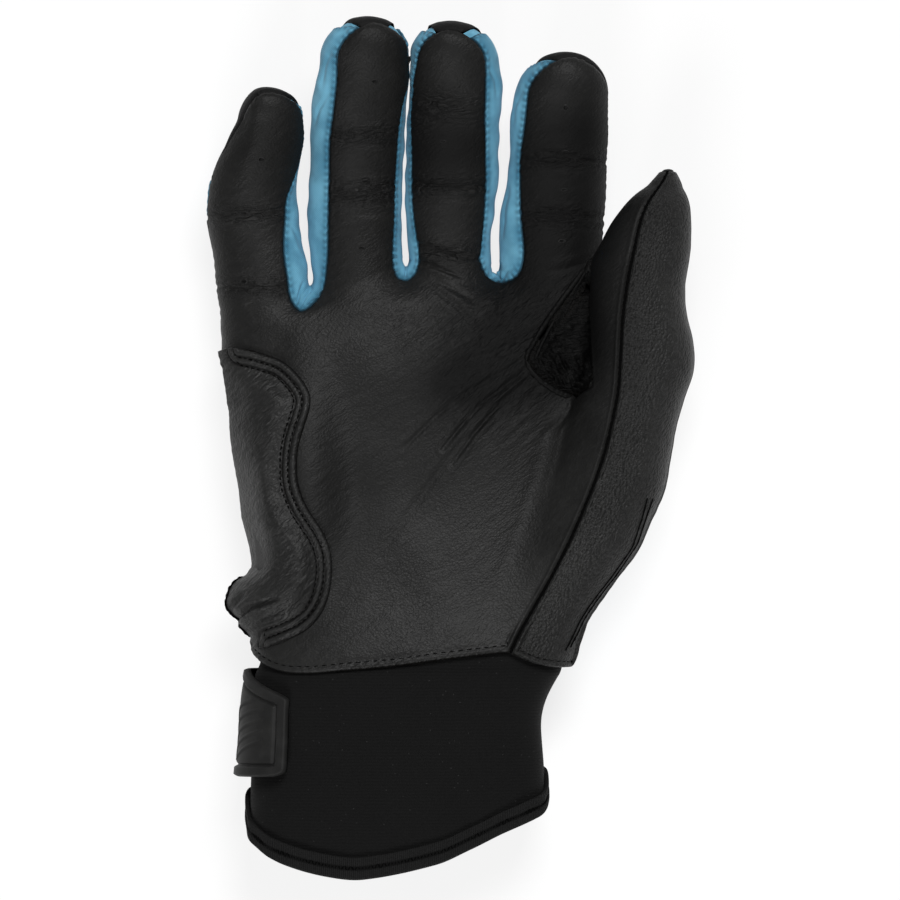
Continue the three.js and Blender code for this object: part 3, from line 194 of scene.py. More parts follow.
def at_runs(line, wanted):
    """Places on a line at the wanted lengths along it"""
    run = run_along(line)
    return np.stack([np.interp(wanted, run, line[:, k]) for k in range(line.shape[1])], axis=1)


def soften(line, rounds):
    """Evens out a line in its own array, with its ends held"""
    for _ in range(rounds):
        line[1:-1] = (line[:-2] + line[1:-1] * 2 + line[2:]) / 4


def unit(ways):
    return ways / np.maximum(np.linalg.norm(ways, axis=1, keepdims=True), 1e-9)


def squared(ways, to):
    """Directions turned until they stand square to other ones"""
    return unit(ways - to * (ways * to).sum(1)[:, None])


def segment_distance(p, a, b):
    """Distance of places from straight runs, and the share along each run"""
    edge = b - a
    t = np.clip(((p - a) * edge).sum(-1) / np.maximum((edge * edge).sum(-1), 1e-12), 0, 1)
    return np.linalg.norm(p - a - edge * t[..., None], axis=-1), t


def section(tube, y):
    """Centre line and half widths of a finger or the thumb"""
    along = y / HAND_LENGTH
    half = follow(tube["line"], along, 2) * PALM_BREADTH - LEATHER
    x = follow(tube["line"], along, 1) * PALM_BREADTH
    if tube is THUMB:
        return x, THUMB_HEIGHT + follow(tube["line"], along, 3) * THUMB_RISE, half, half * THUMB_FLAT
    t = np.clip((along - FINGER_ROOT) / (tube["tip"] - FINGER_ROOT), 0, 1)
    return x, FINGER_HEIGHT + FINGER_CURL * tube["curl"] * t ** 2.2, half, half * FINGER_FLAT


def tube_distance(tube, x, y, z):
    """Rough distance from a finger or the thumb"""
    cx, cz, half, deep = section(tube, y)
    start = (THUMB_ROOT if tube is THUMB else FINGER_ROOT) * HAND_LENGTH
    end = tube["round"] * HAND_LENGTH
    over = np.where(y > end, y - end, np.where(y < start, start - y, 0))
    length = np.where(y < start, ROOT_REACH * HAND_LENGTH, tube["tip"] * HAND_LENGTH - LEATHER - end)
    dx, dz = x - cx, z - cz
    q = np.sqrt((dx / half) ** 2 + (over / length) ** 2 + (dz / deep) ** 2)
    slope = np.sqrt((dx / half ** 2) ** 2 + (over / length ** 2) ** 2 + (dz / deep ** 2) ** 2)
    return np.where(slope > 1e-9, q * (q - 1) / np.maximum(slope, 1e-9), -deep)


def palm_section(y):
    """Centre and half sizes of the palm and the wrist"""
    along = y / HAND_LENGTH
    top = follow(PALM, along, 4) * PALM_DEPTH
    wrist = follow(PALM, along, 3)
    low = UNDERSIDE * PALM_DEPTH
    bottom = low + (WRIST_LIFT - low) * wrist
    return (follow(PALM, along, 1) * PALM_BREADTH, (top + bottom) / 2,
            follow(PALM, along, 2) * PALM_BREADTH - LEATHER, (top - bottom) / 2)


def palm_distance(x, y, z):
    """Rough distance from the palm, whose section is a rounded box"""
    cx, cz, half, deep = palm_section(y)
    dx, dz = np.abs(x - cx), np.abs(z - cz)
    end = follow(WEBS, x / PALM_BREADTH, 1) * HAND_LENGTH
    over = np.maximum(y - end + KNUCKLE_END, 0)
    n = PALM_SQUARE
    s = ((dx / half) ** n + (dz / deep) ** n) ** (1 / n)
    q = np.hypot(s, over / KNUCKLE_END)
    sx, sz = (dx / half) ** (n - 1) / half, (dz / deep) ** (n - 1) / deep
    f = np.where(s > 1e-9, np.maximum(s, 1e-9) ** (2 - n) / np.maximum(q, 1e-9), 0)
    slope = np.sqrt((f * sx) ** 2 + (f * sz) ** 2 + (over / KNUCKLE_END ** 2 / np.maximum(q, 1e-9)) ** 2)
    return np.where((q < 0.05) | (slope < 1e-9), -deep, (q - 1) / np.maximum(slope, 1e-9))


def swelling(across, along, width, length, middle, deep, x, y, z):
    """Rough distance from an egg-shaped mound"""
    half, long = width * PALM_BREADTH, length * HAND_LENGTH
    dx, dy, dz = x - across * PALM_BREADTH, y - along * HAND_LENGTH, z - middle
    q = np.sqrt((dx / half) ** 2 + (dy / long) ** 2 + (dz / deep) ** 2)
    slope = np.sqrt((dx / half ** 2) ** 2 + (dy / long ** 2) ** 2 + (dz / deep ** 2) ** 2)
    return np.where(slope > 1e-9, q * (q - 1) / np.maximum(slope, 1e-9), -deep)


def form(p):
    """Rough distance from the inner face of the leather, negative inside"""
    x, y, z = p[:, 0], p[:, 1], p[:, 2]
    digits = None
    for finger in FINGERS.values():
        d = tube_distance(finger, x, y, z)
        digits = d if digits is None else smooth_min(digits, d, CLEAR_BLEND)
    heel = swelling(*HEEL_MOUND, HEEL_RISE / 2, HEEL_RISE / 2, x, y, z)
    fork = swelling(*FORK_MOUND, FORK_HEIGHT, FORK_DEPTH, x, y, z)
    body = smooth_min(palm_distance(x, y, z), heel, BODY_BLEND)
    body = smooth_min(body, fork, BODY_BLEND)
    body = smooth_min(body, tube_distance(THUMB, x, y, z), BODY_BLEND)
    hand = smooth_min(body, digits, ROOT_BLEND)
    dip_x, dip_y, wide, long = PALM_DIP
    across, along = (x / PALM_BREADTH - dip_x) / wide, (y / HAND_LENGTH - dip_y) / long
    upper = np.clip(z / PALM_DEPTH * 2 - 1, 0, 1)
    dip = PALM_HOLLOW * np.exp(-across ** 2 - along ** 2) * upper
    return -smooth_min(-hand - dip, z - LEATHER, TABLE_BLEND)


def outward(p):
    """Direction out of the form, and how fast the rough distance grows along it"""
    g = np.empty_like(p)
    nudge = 0.02
    for k in range(3):
        step = np.zeros(3)
        step[k] = nudge
        g[:, k] = (form(p + step) - form(p - step)) / (2 * nudge)
    size = np.maximum(np.linalg.norm(g, axis=1, keepdims=True), 1e-6)
    return g / size, size


def settle(p, rounds=4):
    """Nearest places on the form, and the way out at each"""
    p = p.copy()
    for _ in range(rounds):
        out, size = outward(p)
        p -= out * np.clip(form(p)[:, None] / size, -2, 2)
    return p, outward(p)[0]


REACH = 90  # millimetres, farther than any place of the form from its middle
HALVINGS = 16  # rounds that close in on the form's face


def hit(origin, direction):
    """First places where rays from inside leave the form"""
    origin = np.broadcast_to(np.asarray(origin, float), np.shape(direction)).copy()
    direction = direction / np.linalg.norm(direction, axis=1, keepdims=True)
    near, far = np.zeros(len(direction)), np.full(len(direction), 1.0)
    going = form(origin + direction * far[:, None]) < 0
    while going.any() and far.max() < REACH:
        near[going] = far[going]
        far[going] += 1
        inside = np.zeros(len(going), bool)
        inside[going] = form(origin[going] + direction[going] * far[going, None]) < 0
        going = inside
    for _ in range(HALVINGS):
        middle = (near + far) / 2
        inner = form(origin + direction * middle[:, None]) < 0
        near, far = np.where(inner, middle, near), np.where(inner, far, middle)
    p = origin + direction * ((near + far) / 2)[:, None]
    return p, outward(p)[0]


def wrist(turn, y):
    """Places round the wrist: turns in degrees from straight up in front"""
    turn, y = np.broadcast_arrays(np.asarray(turn, float), np.asarray(y, float))
    x, z, half, deep = palm_section(y.ravel())
    a = np.radians(turn.ravel())
    ways = np.stack([np.sin(a) * half, np.zeros(a.size), np.cos(a) * deep], axis=1)
    return hit(np.stack([x, y.ravel(), z], axis=1), ways)


def metres(p):
    """Places of the hand form in the frame's metres"""
    return (p + SHIFT) / 1000


def piece(name, points, faces):
    """A mesh object from points in millimetres on the hand form's axes"""
    mesh = bpy.data.meshes.new(name)
    mesh.from_pydata(metres(np.asarray(points, float)).tolist(), [], faces)
    mesh.update()
    mesh.polygons.foreach_set("use_smooth", [True] * len(mesh.polygons))
    made = bpy.data.objects.new(name, mesh)
    bpy.context.scene.collection.objects.link(made)
    return made


def apply_all(made):
    """Applies a piece's modifiers"""
    bpy.ops.object.select_all(action="DESELECT")
    bpy.context.view_layer.objects.active = made
    made.select_set(True)
    for modifier in list(made.modifiers):
        bpy.ops.object.modifier_apply(modifier=modifier.name)
    made.select_set(False)


def turn_out(made, merge=0):
    """Turns a closed piece's faces outward, after its doubled corners are merged where it has such"""
    shape = bmesh.new()
    shape.from_mesh(made.data)
    if merge:
        bmesh.ops.remove_doubles(shape, verts=shape.verts[:], dist=merge)
    bmesh.ops.recalc_face_normals(shape, faces=shape.faces[:])
    shape.to_mesh(made.data)
    shape.free()


def ring_faces(rings, sides, start=0):
    """Faces between rings of corners that follow one another"""
    faces = []
    for i in range(rings - 1):
        for k in range(sides):
            a, b = start + i * sides + k, start + i * sides + (k + 1) % sides
            faces.append((a, b, b + sides, a + sides))
    return faces


SHARP_CORNER = 38  # degrees of turn in a piece's border past which it isn't rounded
MERGE = 2e-6  # metres within which the doubled corners of a cut piece are merged


def cut_sheet(node, above, inner=False):
    """Outer or inner face of a cut piece as an open mesh of large cells, with its sharp corners marked"""
    cut = bmesh.new()
    cut.from_mesh(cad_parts[node].data)
    bmesh.ops.remove_doubles(cut, verts=cut.verts[:], dist=MERGE)
    cut.verts.ensure_lookup_table()
    cut.normal_update()
    places = np.array([v.co for v in cut.verts]) * 1000 - SHIFT
    if above is None:
        facing = np.einsum("ij,ij->i", np.array([v.normal for v in cut.verts]), outward(places)[0])
        gone = facing < 0
    else:
        gone = form(places) < above
    bmesh.ops.delete(cut, geom=[v for v in cut.verts if gone[v.index] != inner], context="VERTS")
    bmesh.ops.join_triangles(cut, faces=cut.faces[:], angle_face_threshold=3.1,
                             angle_shape_threshold=3.1, topology_influence=1)
    mesh = bpy.data.meshes.new(node)
    cut.verts.index_update()
    creased = np.zeros(len(cut.verts))
    for v in cut.verts:
        ends = [e.other_vert(v).co - v.co for e in v.link_edges if e.is_boundary]
        if len(ends) == 2 and math.degrees(ends[0].angle(-ends[1])) > SHARP_CORNER:
            creased[v.index] = 1
    cut.to_mesh(mesh)
    cut.free()
    mesh.attributes.new("crease_vert", "FLOAT", "POINT").data.foreach_set("value", creased)
    return mesh


def borders(made):
    """Every border of an open piece as an ordered list of vertex numbers"""
    around = {}
    count = np.zeros(len(made.data.edges), int)
    loops = np.empty(len(made.data.loops), int)
    made.data.loops.foreach_get("edge_index", loops)
    np.add.at(count, loops, 1)
    for edge in made.data.edges:
        if count[edge.index] == 1:
            a, b = edge.vertices
            around.setdefault(a, []).append(b)
            around.setdefault(b, []).append(a)
    seen, found = set(), []
    for start in around:
        if start in seen:
            continue
        line, here = [], start
        while here is not None:
            seen.add(here)
            line.append(here)
            ahead = [k for k in around[here] if k not in seen]
            here = ahead[0] if ahead else None
        found.append(line)
    return found


BORDER_GAP = 10  # millimetres between the runs of one border and the next
NEAREST = 3  # straight runs of the border that are measured for each corner


def border_measure(made, keep=None):
    """Distance of every vertex from the border (or the part of it that is kept) and the run along it"""
    p = vertices(made)
    starts, ends, runs, length = [], [], [], 0.0
    for line in borders(made):
        q = p[line + line[:1]]
        run = length + run_along(q)
        use = np.ones(len(line), bool) if keep is None else keep((q[:-1] + q[1:]) / 2)
        starts.append(q[:-1][use])
        ends.append(q[1:][use])
        runs.append(np.stack([run[:-1], run[1:]], axis=1)[use])
        length = run[-1] + BORDER_GAP
    starts, ends, runs = np.concatenate(starts), np.concatenate(ends), np.concatenate(runs)
    tree = kdtree.KDTree(len(starts))
    for k, q in enumerate((starts + ends) / 2):
        tree.insert(q, k)
    tree.balance()
    near = np.array([[k for _, k, _ in tree.find_n(q, NEAREST)] for q in p])
    far, t = segment_distance(p[:, None], starts[near], ends[near])
    best = far.argmin(axis=1)
    row = np.arange(len(p))
    chosen = near[row, best]
    along = runs[chosen, 0] + (runs[chosen, 1] - runs[chosen, 0]) * t[row, best]
    return far[row, best], along


def vertices(made):
    """Places of a piece's corners on the hand form's axes, in millimetres"""
    co = np.empty(len(made.data.vertices) * 3)
    made.data.vertices.foreach_get("co", co)
    return co.reshape(-1, 3) * 1000 - SHIFT


def place_vertices(made, p):
    made.data.vertices.foreach_set("co", metres(p).ravel())
    made.data.update()


CLEAR_OF_SEAM = 6.0  # millimetres from a border, where its material shows nothing of a seam


def measure_map(made, far, along):
    """Writes the distance from the border and the run along it, in millimetres, as a UV map"""
    layer = made.data.uv_layers.new(name="Seam")
    loops = np.empty(len(made.data.loops), int)
    made.data.loops.foreach_get("vertex_index", loops)
    layer.data.foreach_set("uv", np.stack([far[loops], along[loops]], axis=1).ravel())


def mark(made, name, values):
    """Writes a share for every corner, for the materials to read"""
    made.data.attributes.new(name, "FLOAT", "POINT").data.foreach_set("value", values)


def skirt(made, depth, flare):
    """Turns the border of an open piece in, down into the seam"""
    shape = bmesh.new()
    shape.from_mesh(made.data)
    edges = [e for e in shape.edges if e.is_boundary]
    ways = {}
    for v in {v for e in edges for v in e.verts}:
        inner = [e.other_vert(v).co for e in v.link_edges if not e.is_boundary]
        ways[tuple(v.co)] = (v.co - sum(inner, Vector()) / len(inner)).normalized() if inner else Vector()
    grown = bmesh.ops.extrude_edge_only(shape, edges=edges)
    fresh = [v for v in grown["geom"] if isinstance(v, bmesh.types.BMVert)]
    p = np.array([v.co for v in fresh]) * 1000 - SHIFT
    aside = np.array([ways[tuple(v.co)] for v in fresh])
    out, _ = outward(p)
    for v, q in zip(fresh, metres(p - out * depth + aside * flare)):
        v.co = q
    shape.to_mesh(made.data)
    shape.free()


def finer(node, mesh, levels):
    """An object with the mesh smoothed and divided"""
    made = bpy.data.objects.new(node, mesh)
    bpy.context.scene.collection.objects.link(made)
    fine = made.modifiers.new("fine", "SUBSURF")
    fine.levels = fine.render_levels = levels
    fine.boundary_smooth = "ALL"
    apply_all(made)
    return made


def line_inside(made, node, above, level, shape):
    """Adds the plain inner face of a cut piece to its fine outer one"""
    inner = finer(node + "_lining", cut_sheet(node, above, inner=True), 1)
    base, out = settle(vertices(inner))
    place_vertices(inner, shape(base + out * level))
    measure_map(inner, np.full(len(base), CLEAR_OF_SEAM), base[:, 1])
    bpy.ops.object.select_all(action="DESELECT")
    inner.select_set(True)
    made.select_set(True)
    bpy.context.view_layer.objects.active = made
    bpy.ops.object.join()
    made.select_set(False)


def as_cut(p):
    return p


# How far the pieces lie in from the cut ones along the little-finger side: picture row, millimetres
SIDE_EASE = np.array([
    (20, 1.6), (88, 2.2), (110, 2.5), (150, 2.4), (180, 0.9), (210, 0.0), (270, 0.5), (300, 0.8),
    (320, 1.5), (340, 1.9), (355, 1.2), (370, 0.3), (390, 0.0), (900, 0.0)])
# Where that easing fades out: picture row, picture column
SIDE_MIDDLE = np.array([(20, 276), (90, 268), (150, 262), (210, 252), (340, 300)])


def side_ease(p):
    """Draws the little-finger side in a little where the glove is slimmer there"""
    x, y, z = p.T
    rows = picture_row(y)
    ease = np.interp(rows, *SIDE_EASE.T)
    middle = np.interp(rows, *SIDE_MIDDLE.T)
    share = smooth((plan(middle, 0)[0] - x) / 9)
    return np.stack([x + ease * share, y, z], axis=1)


# The thumb's end in the picture: rows where it narrows and ends, columns of its inner side and its point
NARROW_ROW, END_ROW, INNER_COLUMN, POINT_COLUMN = 216, 166, 610, 668


def thumb_point(p):
    """Draws the end of the thumb in to the rounded point where its two front pieces meet"""
    low, high = plan(0, NARROW_ROW)[1], plan(0, END_ROW)[1]
    x, y, z = p.T
    thumb = smooth((x - plan(INNER_COLUMN, 0)[0]) / 5)
    t = smooth((y - low) / (high - low)) * thumb
    axis = plan(POINT_COLUMN + (y - low) * 0.12, 0)[0]
    drawn = 1 - 0.6 * t ** 2
    top = high - 2.6
    y = np.where((y > top) & (thumb > 0), top + (y - top) * 0.35, y)
    return side_ease(np.stack([axis + (x - axis) * drawn, y, z * (1 - 0.12 * t)], axis=1))


def eased(made, p, share, rounds=160):
    """Heights evened out along the mesh where the share is high"""
    ends = np.array([e.vertices[:] for e in made.data.edges])
    here, there = np.concatenate([ends[:, 0], ends[:, 1]]), np.concatenate([ends[:, 1], ends[:, 0]])
    count = np.bincount(here, minlength=len(p))
    z = p[:, 2].copy()
    for _ in range(rounds):
        z += (np.bincount(here, z[there], len(p)) / count - z) * share * 0.6
    return np.stack([p[:, 0], p[:, 1], z], axis=1)


# Borders and upper faces of the dressed pieces by the cut piece's name, for the sewing
rims, skins = {}, {}


def dress(node, above, offset, levels, relief, depth=1.6, inset=0.12, marks=None, edge=None, lining=0.05,
          flare=SEAM_GAP * 0.55, shape=as_cut, ease=None):
    """A fine piece over a cut one: smooth over the form, with relief in millimetres from a function"""
    made = finer(node + "_fine", cut_sheet(node, above), levels)
    if inset:
        rim = bmesh.new()
        rim.from_mesh(made.data)
        bmesh.ops.inset_region(rim, faces=rim.faces[:], thickness=inset / 1000, use_boundary=True,
                               use_even_offset=True)
        rim.to_mesh(made.data)
        rim.free()
    far, along = border_measure(made)
    base, out = settle(vertices(made))
    extra = border_measure(made, edge)[0] if edge else far
    raised = relief(base, out, far, along, extra) if edge else relief(base, out, far, along)
    if ease:
        base = eased(made, base, ease(base, out, far))
    place_vertices(made, shape(base + out * (offset + raised)[:, None]))
    measure_map(made, extra, along)
    for name, values in (marks or {}).items():
        mark(made, name, values(base, out, far))
    rims[node] = [vertices(made)[line] for line in borders(made)]
    skins[node] = BVHTree.FromPolygons([Vector(q) for q in vertices(made)],
                                       [tuple(f.vertices) for f in made.data.polygons])
    skirt(made, depth, flare)
    if lining is not None:
        line_inside(made, node, above, lining, shape)
    made.data.polygons.foreach_set("use_smooth", [True] * len(made.data.polygons))
    return made


# Reliefs of the pieces, in millimetres over their level, and marks for the materials, as shares up to 1;
# both are worked out from the corners' places, their ways out and their distances from the border
def rolled(far, drop=0.5, width=0.45):
    """The edge turned down into its seam"""
    return -drop * bump(far, width)


def ripples(x, y, pitch, turn, spread=14, count=7, seed=1):
    """Uneven waves across a direction, between about -1 and 1"""
    rng = np.random.default_rng(seed)
    total = 0
    for _ in range(count):
        angle = math.radians(turn + rng.normal() * spread)
        wave = 2 * math.pi / (pitch * rng.uniform(0.75, 1.45))
        total = total + np.sin((x * math.cos(angle) + y * math.sin(angle)) * wave + rng.uniform(0, 6.28))
    return total / math.sqrt(count)


def creases(base, out, rows):
    """Pressed-in lines with raised lips; each row is depth, width and its places in the picture"""
    total = np.zeros(len(base))
    upper = out[:, 2] > 0
    flat = base[upper, :2]
    here = np.zeros(len(flat))
    for depth, width, *places in rows:
        line = np.array([plan(*q) for q in places])
        runs = run_along(line)
        best, share = np.full(len(flat), 99.0), np.zeros(len(flat))
        for k in range(len(line) - 1):
            d, t = segment_distance(flat, line[k], line[k + 1])
            closer = d < best
            best[closer] = d[closer]
            share[closer] = (runs[k] + (runs[k + 1] - runs[k]) * t[closer]) / runs[-1]
        fade = np.sqrt(np.clip(np.sin(np.pi * (0.03 + 0.94 * share)), 0, 1))
        here += depth * fade * (0.45 * bump(best - width * 1.7, width) - bump(best, width * 0.7))
    total[upper] = here
    return total


# Wrinkles of the palm leather, as they lie in the picture
JOINTS = [
    (0.8, 0.75, (324, 134), (345, 138), (372, 137), (399, 131)),
    (0.51, 0.75, (328, 146), (360, 148), (396, 144)),
    (1.09, 0.75, (326, 184), (350, 189), (378, 188), (398, 183)),
    (0.87, 0.75, (327, 199), (356, 205), (384, 204), (398, 199)),
    (0.65, 0.75, (328, 214), (356, 218), (394, 213)),
    (1.45, 0.8, (411, 180), (428, 187), (455, 191), (487, 187)),
    (0.65, 0.75, (412, 198), (440, 201), (486, 199)),
    (1.01, 0.75, (414, 243), (436, 250), (462, 258), (478, 262)),
    (0.87, 0.75, (418, 262), (440, 270), (462, 280)),
    (0.43, 0.9, (412, 92), (428, 103), (448, 118), (470, 126)),
    (0.36, 0.8, (411, 105), (432, 119), (460, 132)),
    (0.87, 0.75, (523, 158), (548, 155), (578, 160), (607, 166)),
    (0.51, 0.8, (522, 168), (550, 168), (590, 174)),
    (0.87, 0.75, (520, 214), (548, 212), (580, 216), (604, 221)),
    (0.51, 0.8, (522, 226), (556, 226), (600, 232)),
    (0.43, 0.9, (213, 214), (238, 219), (262, 218), (288, 212)),
    (0.36, 0.8, (214, 288), (240, 292), (272, 290)),
]
PULLS = [
    (0.2, 1.2, (575, 290), (550, 298), (520, 306), (490, 318)),
    (0.3, 1.0, (560, 318), (535, 335), (505, 352), (470, 372)),
    (0.25, 0.9, (548, 330), (520, 344), (490, 356), (452, 366)),
    (0.7, 0.8, (530, 370), (512, 384), (488, 402), (466, 424), (444, 452)),
    (0.6, 0.7, (534, 378), (514, 394), (494, 414), (474, 438), (452, 468)),
    (0.45, 0.8, (524, 362), (500, 376), (470, 394), (436, 420), (404, 452)),
    (0.3, 1.4, (500, 405), (468, 440), (436, 480), (400, 530), (380, 560)),
    (0.35, 0.8, (538, 390), (526, 404), (514, 424)),
    (0.45, 1.6, (578, 398), (574, 412), (562, 426), (546, 434)),
    (0.3, 1.2, (590, 262), (572, 270), (552, 274)),
    (0.4, 1.0, (430, 288), (450, 304), (468, 320), (480, 336)),
    (0.3, 0.9, (436, 284), (458, 296), (476, 306)),
    (0.25, 1.1, (504, 292), (500, 310), (502, 330)),
    (0.2, 2.2, (318, 655), (345, 640), (372, 622), (388, 604)),
]


def zone_share(x, y, zones):
    """Share of a place in soft oval zones, given by centre and half sizes in the picture"""
    total = 0
    for column, row, wide, tall in zones:
        cx, cy = plan(column, row)
        total = total + bump((x - cx) / (wide * PIXEL), 1) * bump((y - cy) / (tall * PIXEL), 1)
    return np.clip(total, 0, 1)


# Soft oval zones in the picture, by centre and half sizes: the finger joints, and where the thumb pulls
FINGER_JOINTS = ((362, 138, 50, 12), (362, 196, 50, 16), (449, 186, 50, 12), (449, 256, 45, 14),
                 (565, 162, 55, 12), (562, 220, 55, 13), (250, 216, 50, 12), (250, 290, 50, 12),
                 (440, 110, 40, 20))
GATHERS = ((528, 340, 60, 62), (492, 392, 48, 50), (470, 330, 60, 34))


def joint_zones(x, y):
    """How much the leather is gathered across the finger joints"""
    return zone_share(x, y, FINGER_JOINTS)


def hem_lip(y, far, level=0.055):
    """Folded lip and stitched line along the wrist hem"""
    near = smooth((level * HAND_LENGTH - y) / 3)
    return near * (0.4 * bump(far - 0.75, 0.65) - 0.4 * bump(far - HEM_SEAM, 0.4))


def palm_relief(base, out, far, along):
    """Rolled and gathered edges, the hem's lip, slack over the joints and the creases"""
    x, y = base[:, 0], base[:, 1]
    front = np.clip(out[:, 2] * 2, 0, 1)
    fine = ripples(x, y, 2.3, 88, 10, 9, 3) * 0.1 * joint_zones(x, y) * front
    pulled = ripples(x, y, 2.6, 132, 7, 9, 7) * 0.1 * zone_share(x, y, GATHERS) * front
    soft = ripples(x, y, 17, 60, 50, 6, 4) * 0.09 * front + pulled
    stretch = ripples(x, y, 3.4, 128, 12, 8, 5) * 0.03 * front
    gather = ripples(along, far * 0.4, 2.6, 0, 8, 5, 6) * 0.1 * bump(far, 1.6)
    beside_thumb = zone_share(x, y, ((622, 330, 26, 190), (560, 560, 60, 110)))
    return (rolled(far) + fine + soft + stretch + gather + hem_lip(y, far)
            + 0.4 * bump(far - 1.0, 0.5) * beside_thumb
            + creases(base, out, JOINTS) + creases(base, out, PULLS))


def thumb_valley(base, out, far):
    """The soft valley between the palm and the thumb"""
    share = zone_share(base[:, 0], base[:, 1], ((560, 440, 42, 60), (545, 500, 42, 70), (528, 560, 40, 60)))
    return share * smooth((far - 1.5) / 4) * (out[:, 2] > 0.1)


def joint_folds(base, out, far):
    """Mark of the wrinkles across the finger joints, which the leather bumps and darkens with painted shade
    """
    return joint_zones(base[:, 0], base[:, 1]) * np.clip(out[:, 2] * 2, 0, 1)


def palm_pulls(base, out, far):
    """Mark of the wrinkles that run out from the thumb, which the leather bumps and darkens with painted
    shade
    """
    return (0.25 + 0.75 * zone_share(base[:, 0], base[:, 1], GATHERS)) * np.clip(out[:, 2] * 2, 0, 1)


def plain(base, out, far, along):
    """Rolled edge with a low lip beside it"""
    return rolled(far) + 0.12 * bump(far - 1.3, 0.8)


def thumb_relief(base, out, far, along):
    """Rolled edge with a raised lip beside the seam, and a light unevenness"""
    x, y = base[:, 0], base[:, 1]
    return (rolled(far, 0.6, 0.35) + 0.4 * bump(far - 1.0, 0.5) + hem_lip(y, far, 0.06)
            + ripples(x, y, 14, 70, 40, 6, 8) * 0.15 + ripples(x, y, 2.6, 20, 30, 8, 9) * 0.03)


# Folds at the foot of the webs between the fingers
WEB_FOLDS = [
    (0.5, 0.5, (302, 312), (306, 302), (314, 292)), (0.4, 0.45, (305, 311), (312, 304), (320, 298)),
    (0.4, 0.45, (298, 308), (299, 296), (302, 284)), (0.5, 0.5, (406, 280), (405, 270), (402, 262)),
    (0.45, 0.45, (407, 280), (410, 270), (413, 262)), (0.5, 0.5, (503, 284), (498, 276), (490, 268)),
    (0.5, 0.5, (505, 284), (509, 276), (516, 270)), (0.4, 0.45, (503, 284), (503, 274), (504, 266)),
    (0.4, 0.6, (334, 56), (328, 70), (326, 90)), (0.35, 0.6, (330, 100), (322, 112), (318, 128)),
    (0.35, 0.6, (488, 70), (494, 84), (496, 100)), (0.3, 0.6, (524, 96), (518, 112), (516, 130)),
    (0.4, 0.6, (292, 230), (300, 250), (308, 268)), (0.35, 0.6, (512, 190), (508, 214), (506, 240)),
]


def stretch_relief(base, out, far, along):
    """Puckers along the sewn edges of the stretch fabric, slack between them"""
    x, y, z = base.T
    puckers = ripples(along, far * 0.3, 2.2, 0, 10, 6, 11) * 0.16 * bump(far, 1.4)
    slack = ripples(x + z, y, 9, 75, 22, 6, 12) * 0.12 * smooth(far / 2)
    return rolled(far, 0.45, 0.4) + puckers + slack + creases(base, out, WEB_FOLDS)


def gusset_relief(base, out, far, along):
    """Slack leather in fine pleats, sunk towards the thumb and crumpled at its lower end"""
    x, y = base[:, 0], base[:, 1]
    low = smooth((plan(0, 350)[1] - y) / 6)
    pleats = ripples(x, y, 1.9, 80, 8, 7, 13)
    crush = ripples(x, y, 2.0, 10, 60, 9, 14)
    inner = smooth(far / 2.5)
    fold = smooth(far / 6) * (1 - low)
    return (0.3 * bump(far - 2.6, 0.6) + inner * (pleats * 0.2 * (1 - 0.5 * low) - 0.4) - 1.8 * fold
            + crush * (0.06 + 0.45 * low) * smooth(far / 1.2) + 1.0 * low * inner)


def back_relief(base, out, far, along):
    """Rolled edge and slack, both gone where the back lies on the table"""
    x, y = base[:, 0], base[:, 1]
    flat = smooth(base[:, 2] / 3)
    slack = ripples(x, y, 16, 60, 50, 6, 15) * 0.12 + ripples(x, y, 3.2, 40, 40, 8, 16) * 0.05
    return (rolled(far) + slack) * flat


def curved_edge(p):
    """The stitched edge of the heel patch, all but its side along the outer seam of the hand"""
    x, _, half, _ = palm_section(p[:, 1])
    return p[:, 0] > x - half * 0.93


def hem_edge(p):
    """The leather's edge along the wrist hem, on the palm's side"""
    return (p[:, 1] < 4.6) & (p[:, 2] > 12)


# Stand of the heel patch over the hand form along its outer side: picture row, millimetres
PATCH_SIDE = np.array([
    (345, 2.2), (370, 2.5), (385, 3.7), (400, 4.9), (430, 5.0), (460, 4.4), (490, 3.8), (520, 3.7),
    (550, 2.2), (570, 1.4), (579, 3.6), (586, 5.8), (594, 7.6), (603, 8.4), (612, 8.3), (622, 6.4),
    (632, 3.8), (642, 1.8), (660, 1.5)])
PATCH_LEVEL = LEATHER * 2 + 0.3

# Folds at the patch's rolled lower corner
PATCH_DARTS = [
    (1.2, 0.8, (252, 630), (260, 620), (270, 611), (288, 600)),
    (0.8, 0.7, (256, 628), (258, 614), (266, 598)),
    (0.6, 0.7, (262, 632), (276, 626), (290, 618)),
    (0.5, 1.2, (262, 574), (250, 584), (240, 598)),
]


def patch_relief(base, out, far, along, edge):
    """Two stitched lines along the edge, a soft filling inside them, and the rolled lower corner"""
    x, y = base[:, 0], base[:, 1]
    cx, _, half, _ = palm_section(y)
    side = np.maximum(x - (cx - half), 0)
    flat = smooth(side / 8)
    stand = (np.interp(picture_row(y), *PATCH_SIDE.T) - PATCH_LEVEL) * bump(side, 7)
    rows = -0.55 * bump(edge - HEEL_ROWS[0], 0.36) - 0.55 * bump(edge - HEEL_ROWS[1], 0.36)
    ridges = 0.2 * bump(edge - sum(HEEL_ROWS) / 2, 0.6) + 0.3 * bump(edge - 1.0, 0.8)
    filling = (FOAM + HEEL_GAP) * smooth((edge - HEEL_ROWS[1]) / 5.5) * flat
    beside_row = smooth((edge - 4.8) / 3) * (0.35 + 0.65 * bump(edge - 7, 6))
    wrinkled = ripples(x, y, 2.1, 138, 12, 9, 21) * 0.09 * beside_row
    dimples = ripples(x, y, 8, 130, 40, 6, 22) * 0.14 * smooth((edge - 5) / 4) * flat
    darts = creases(base, out, PATCH_DARTS)
    return rolled(edge, 0.5, 0.4) + rows + ridges + filling + wrinkled + dimples + stand + darts


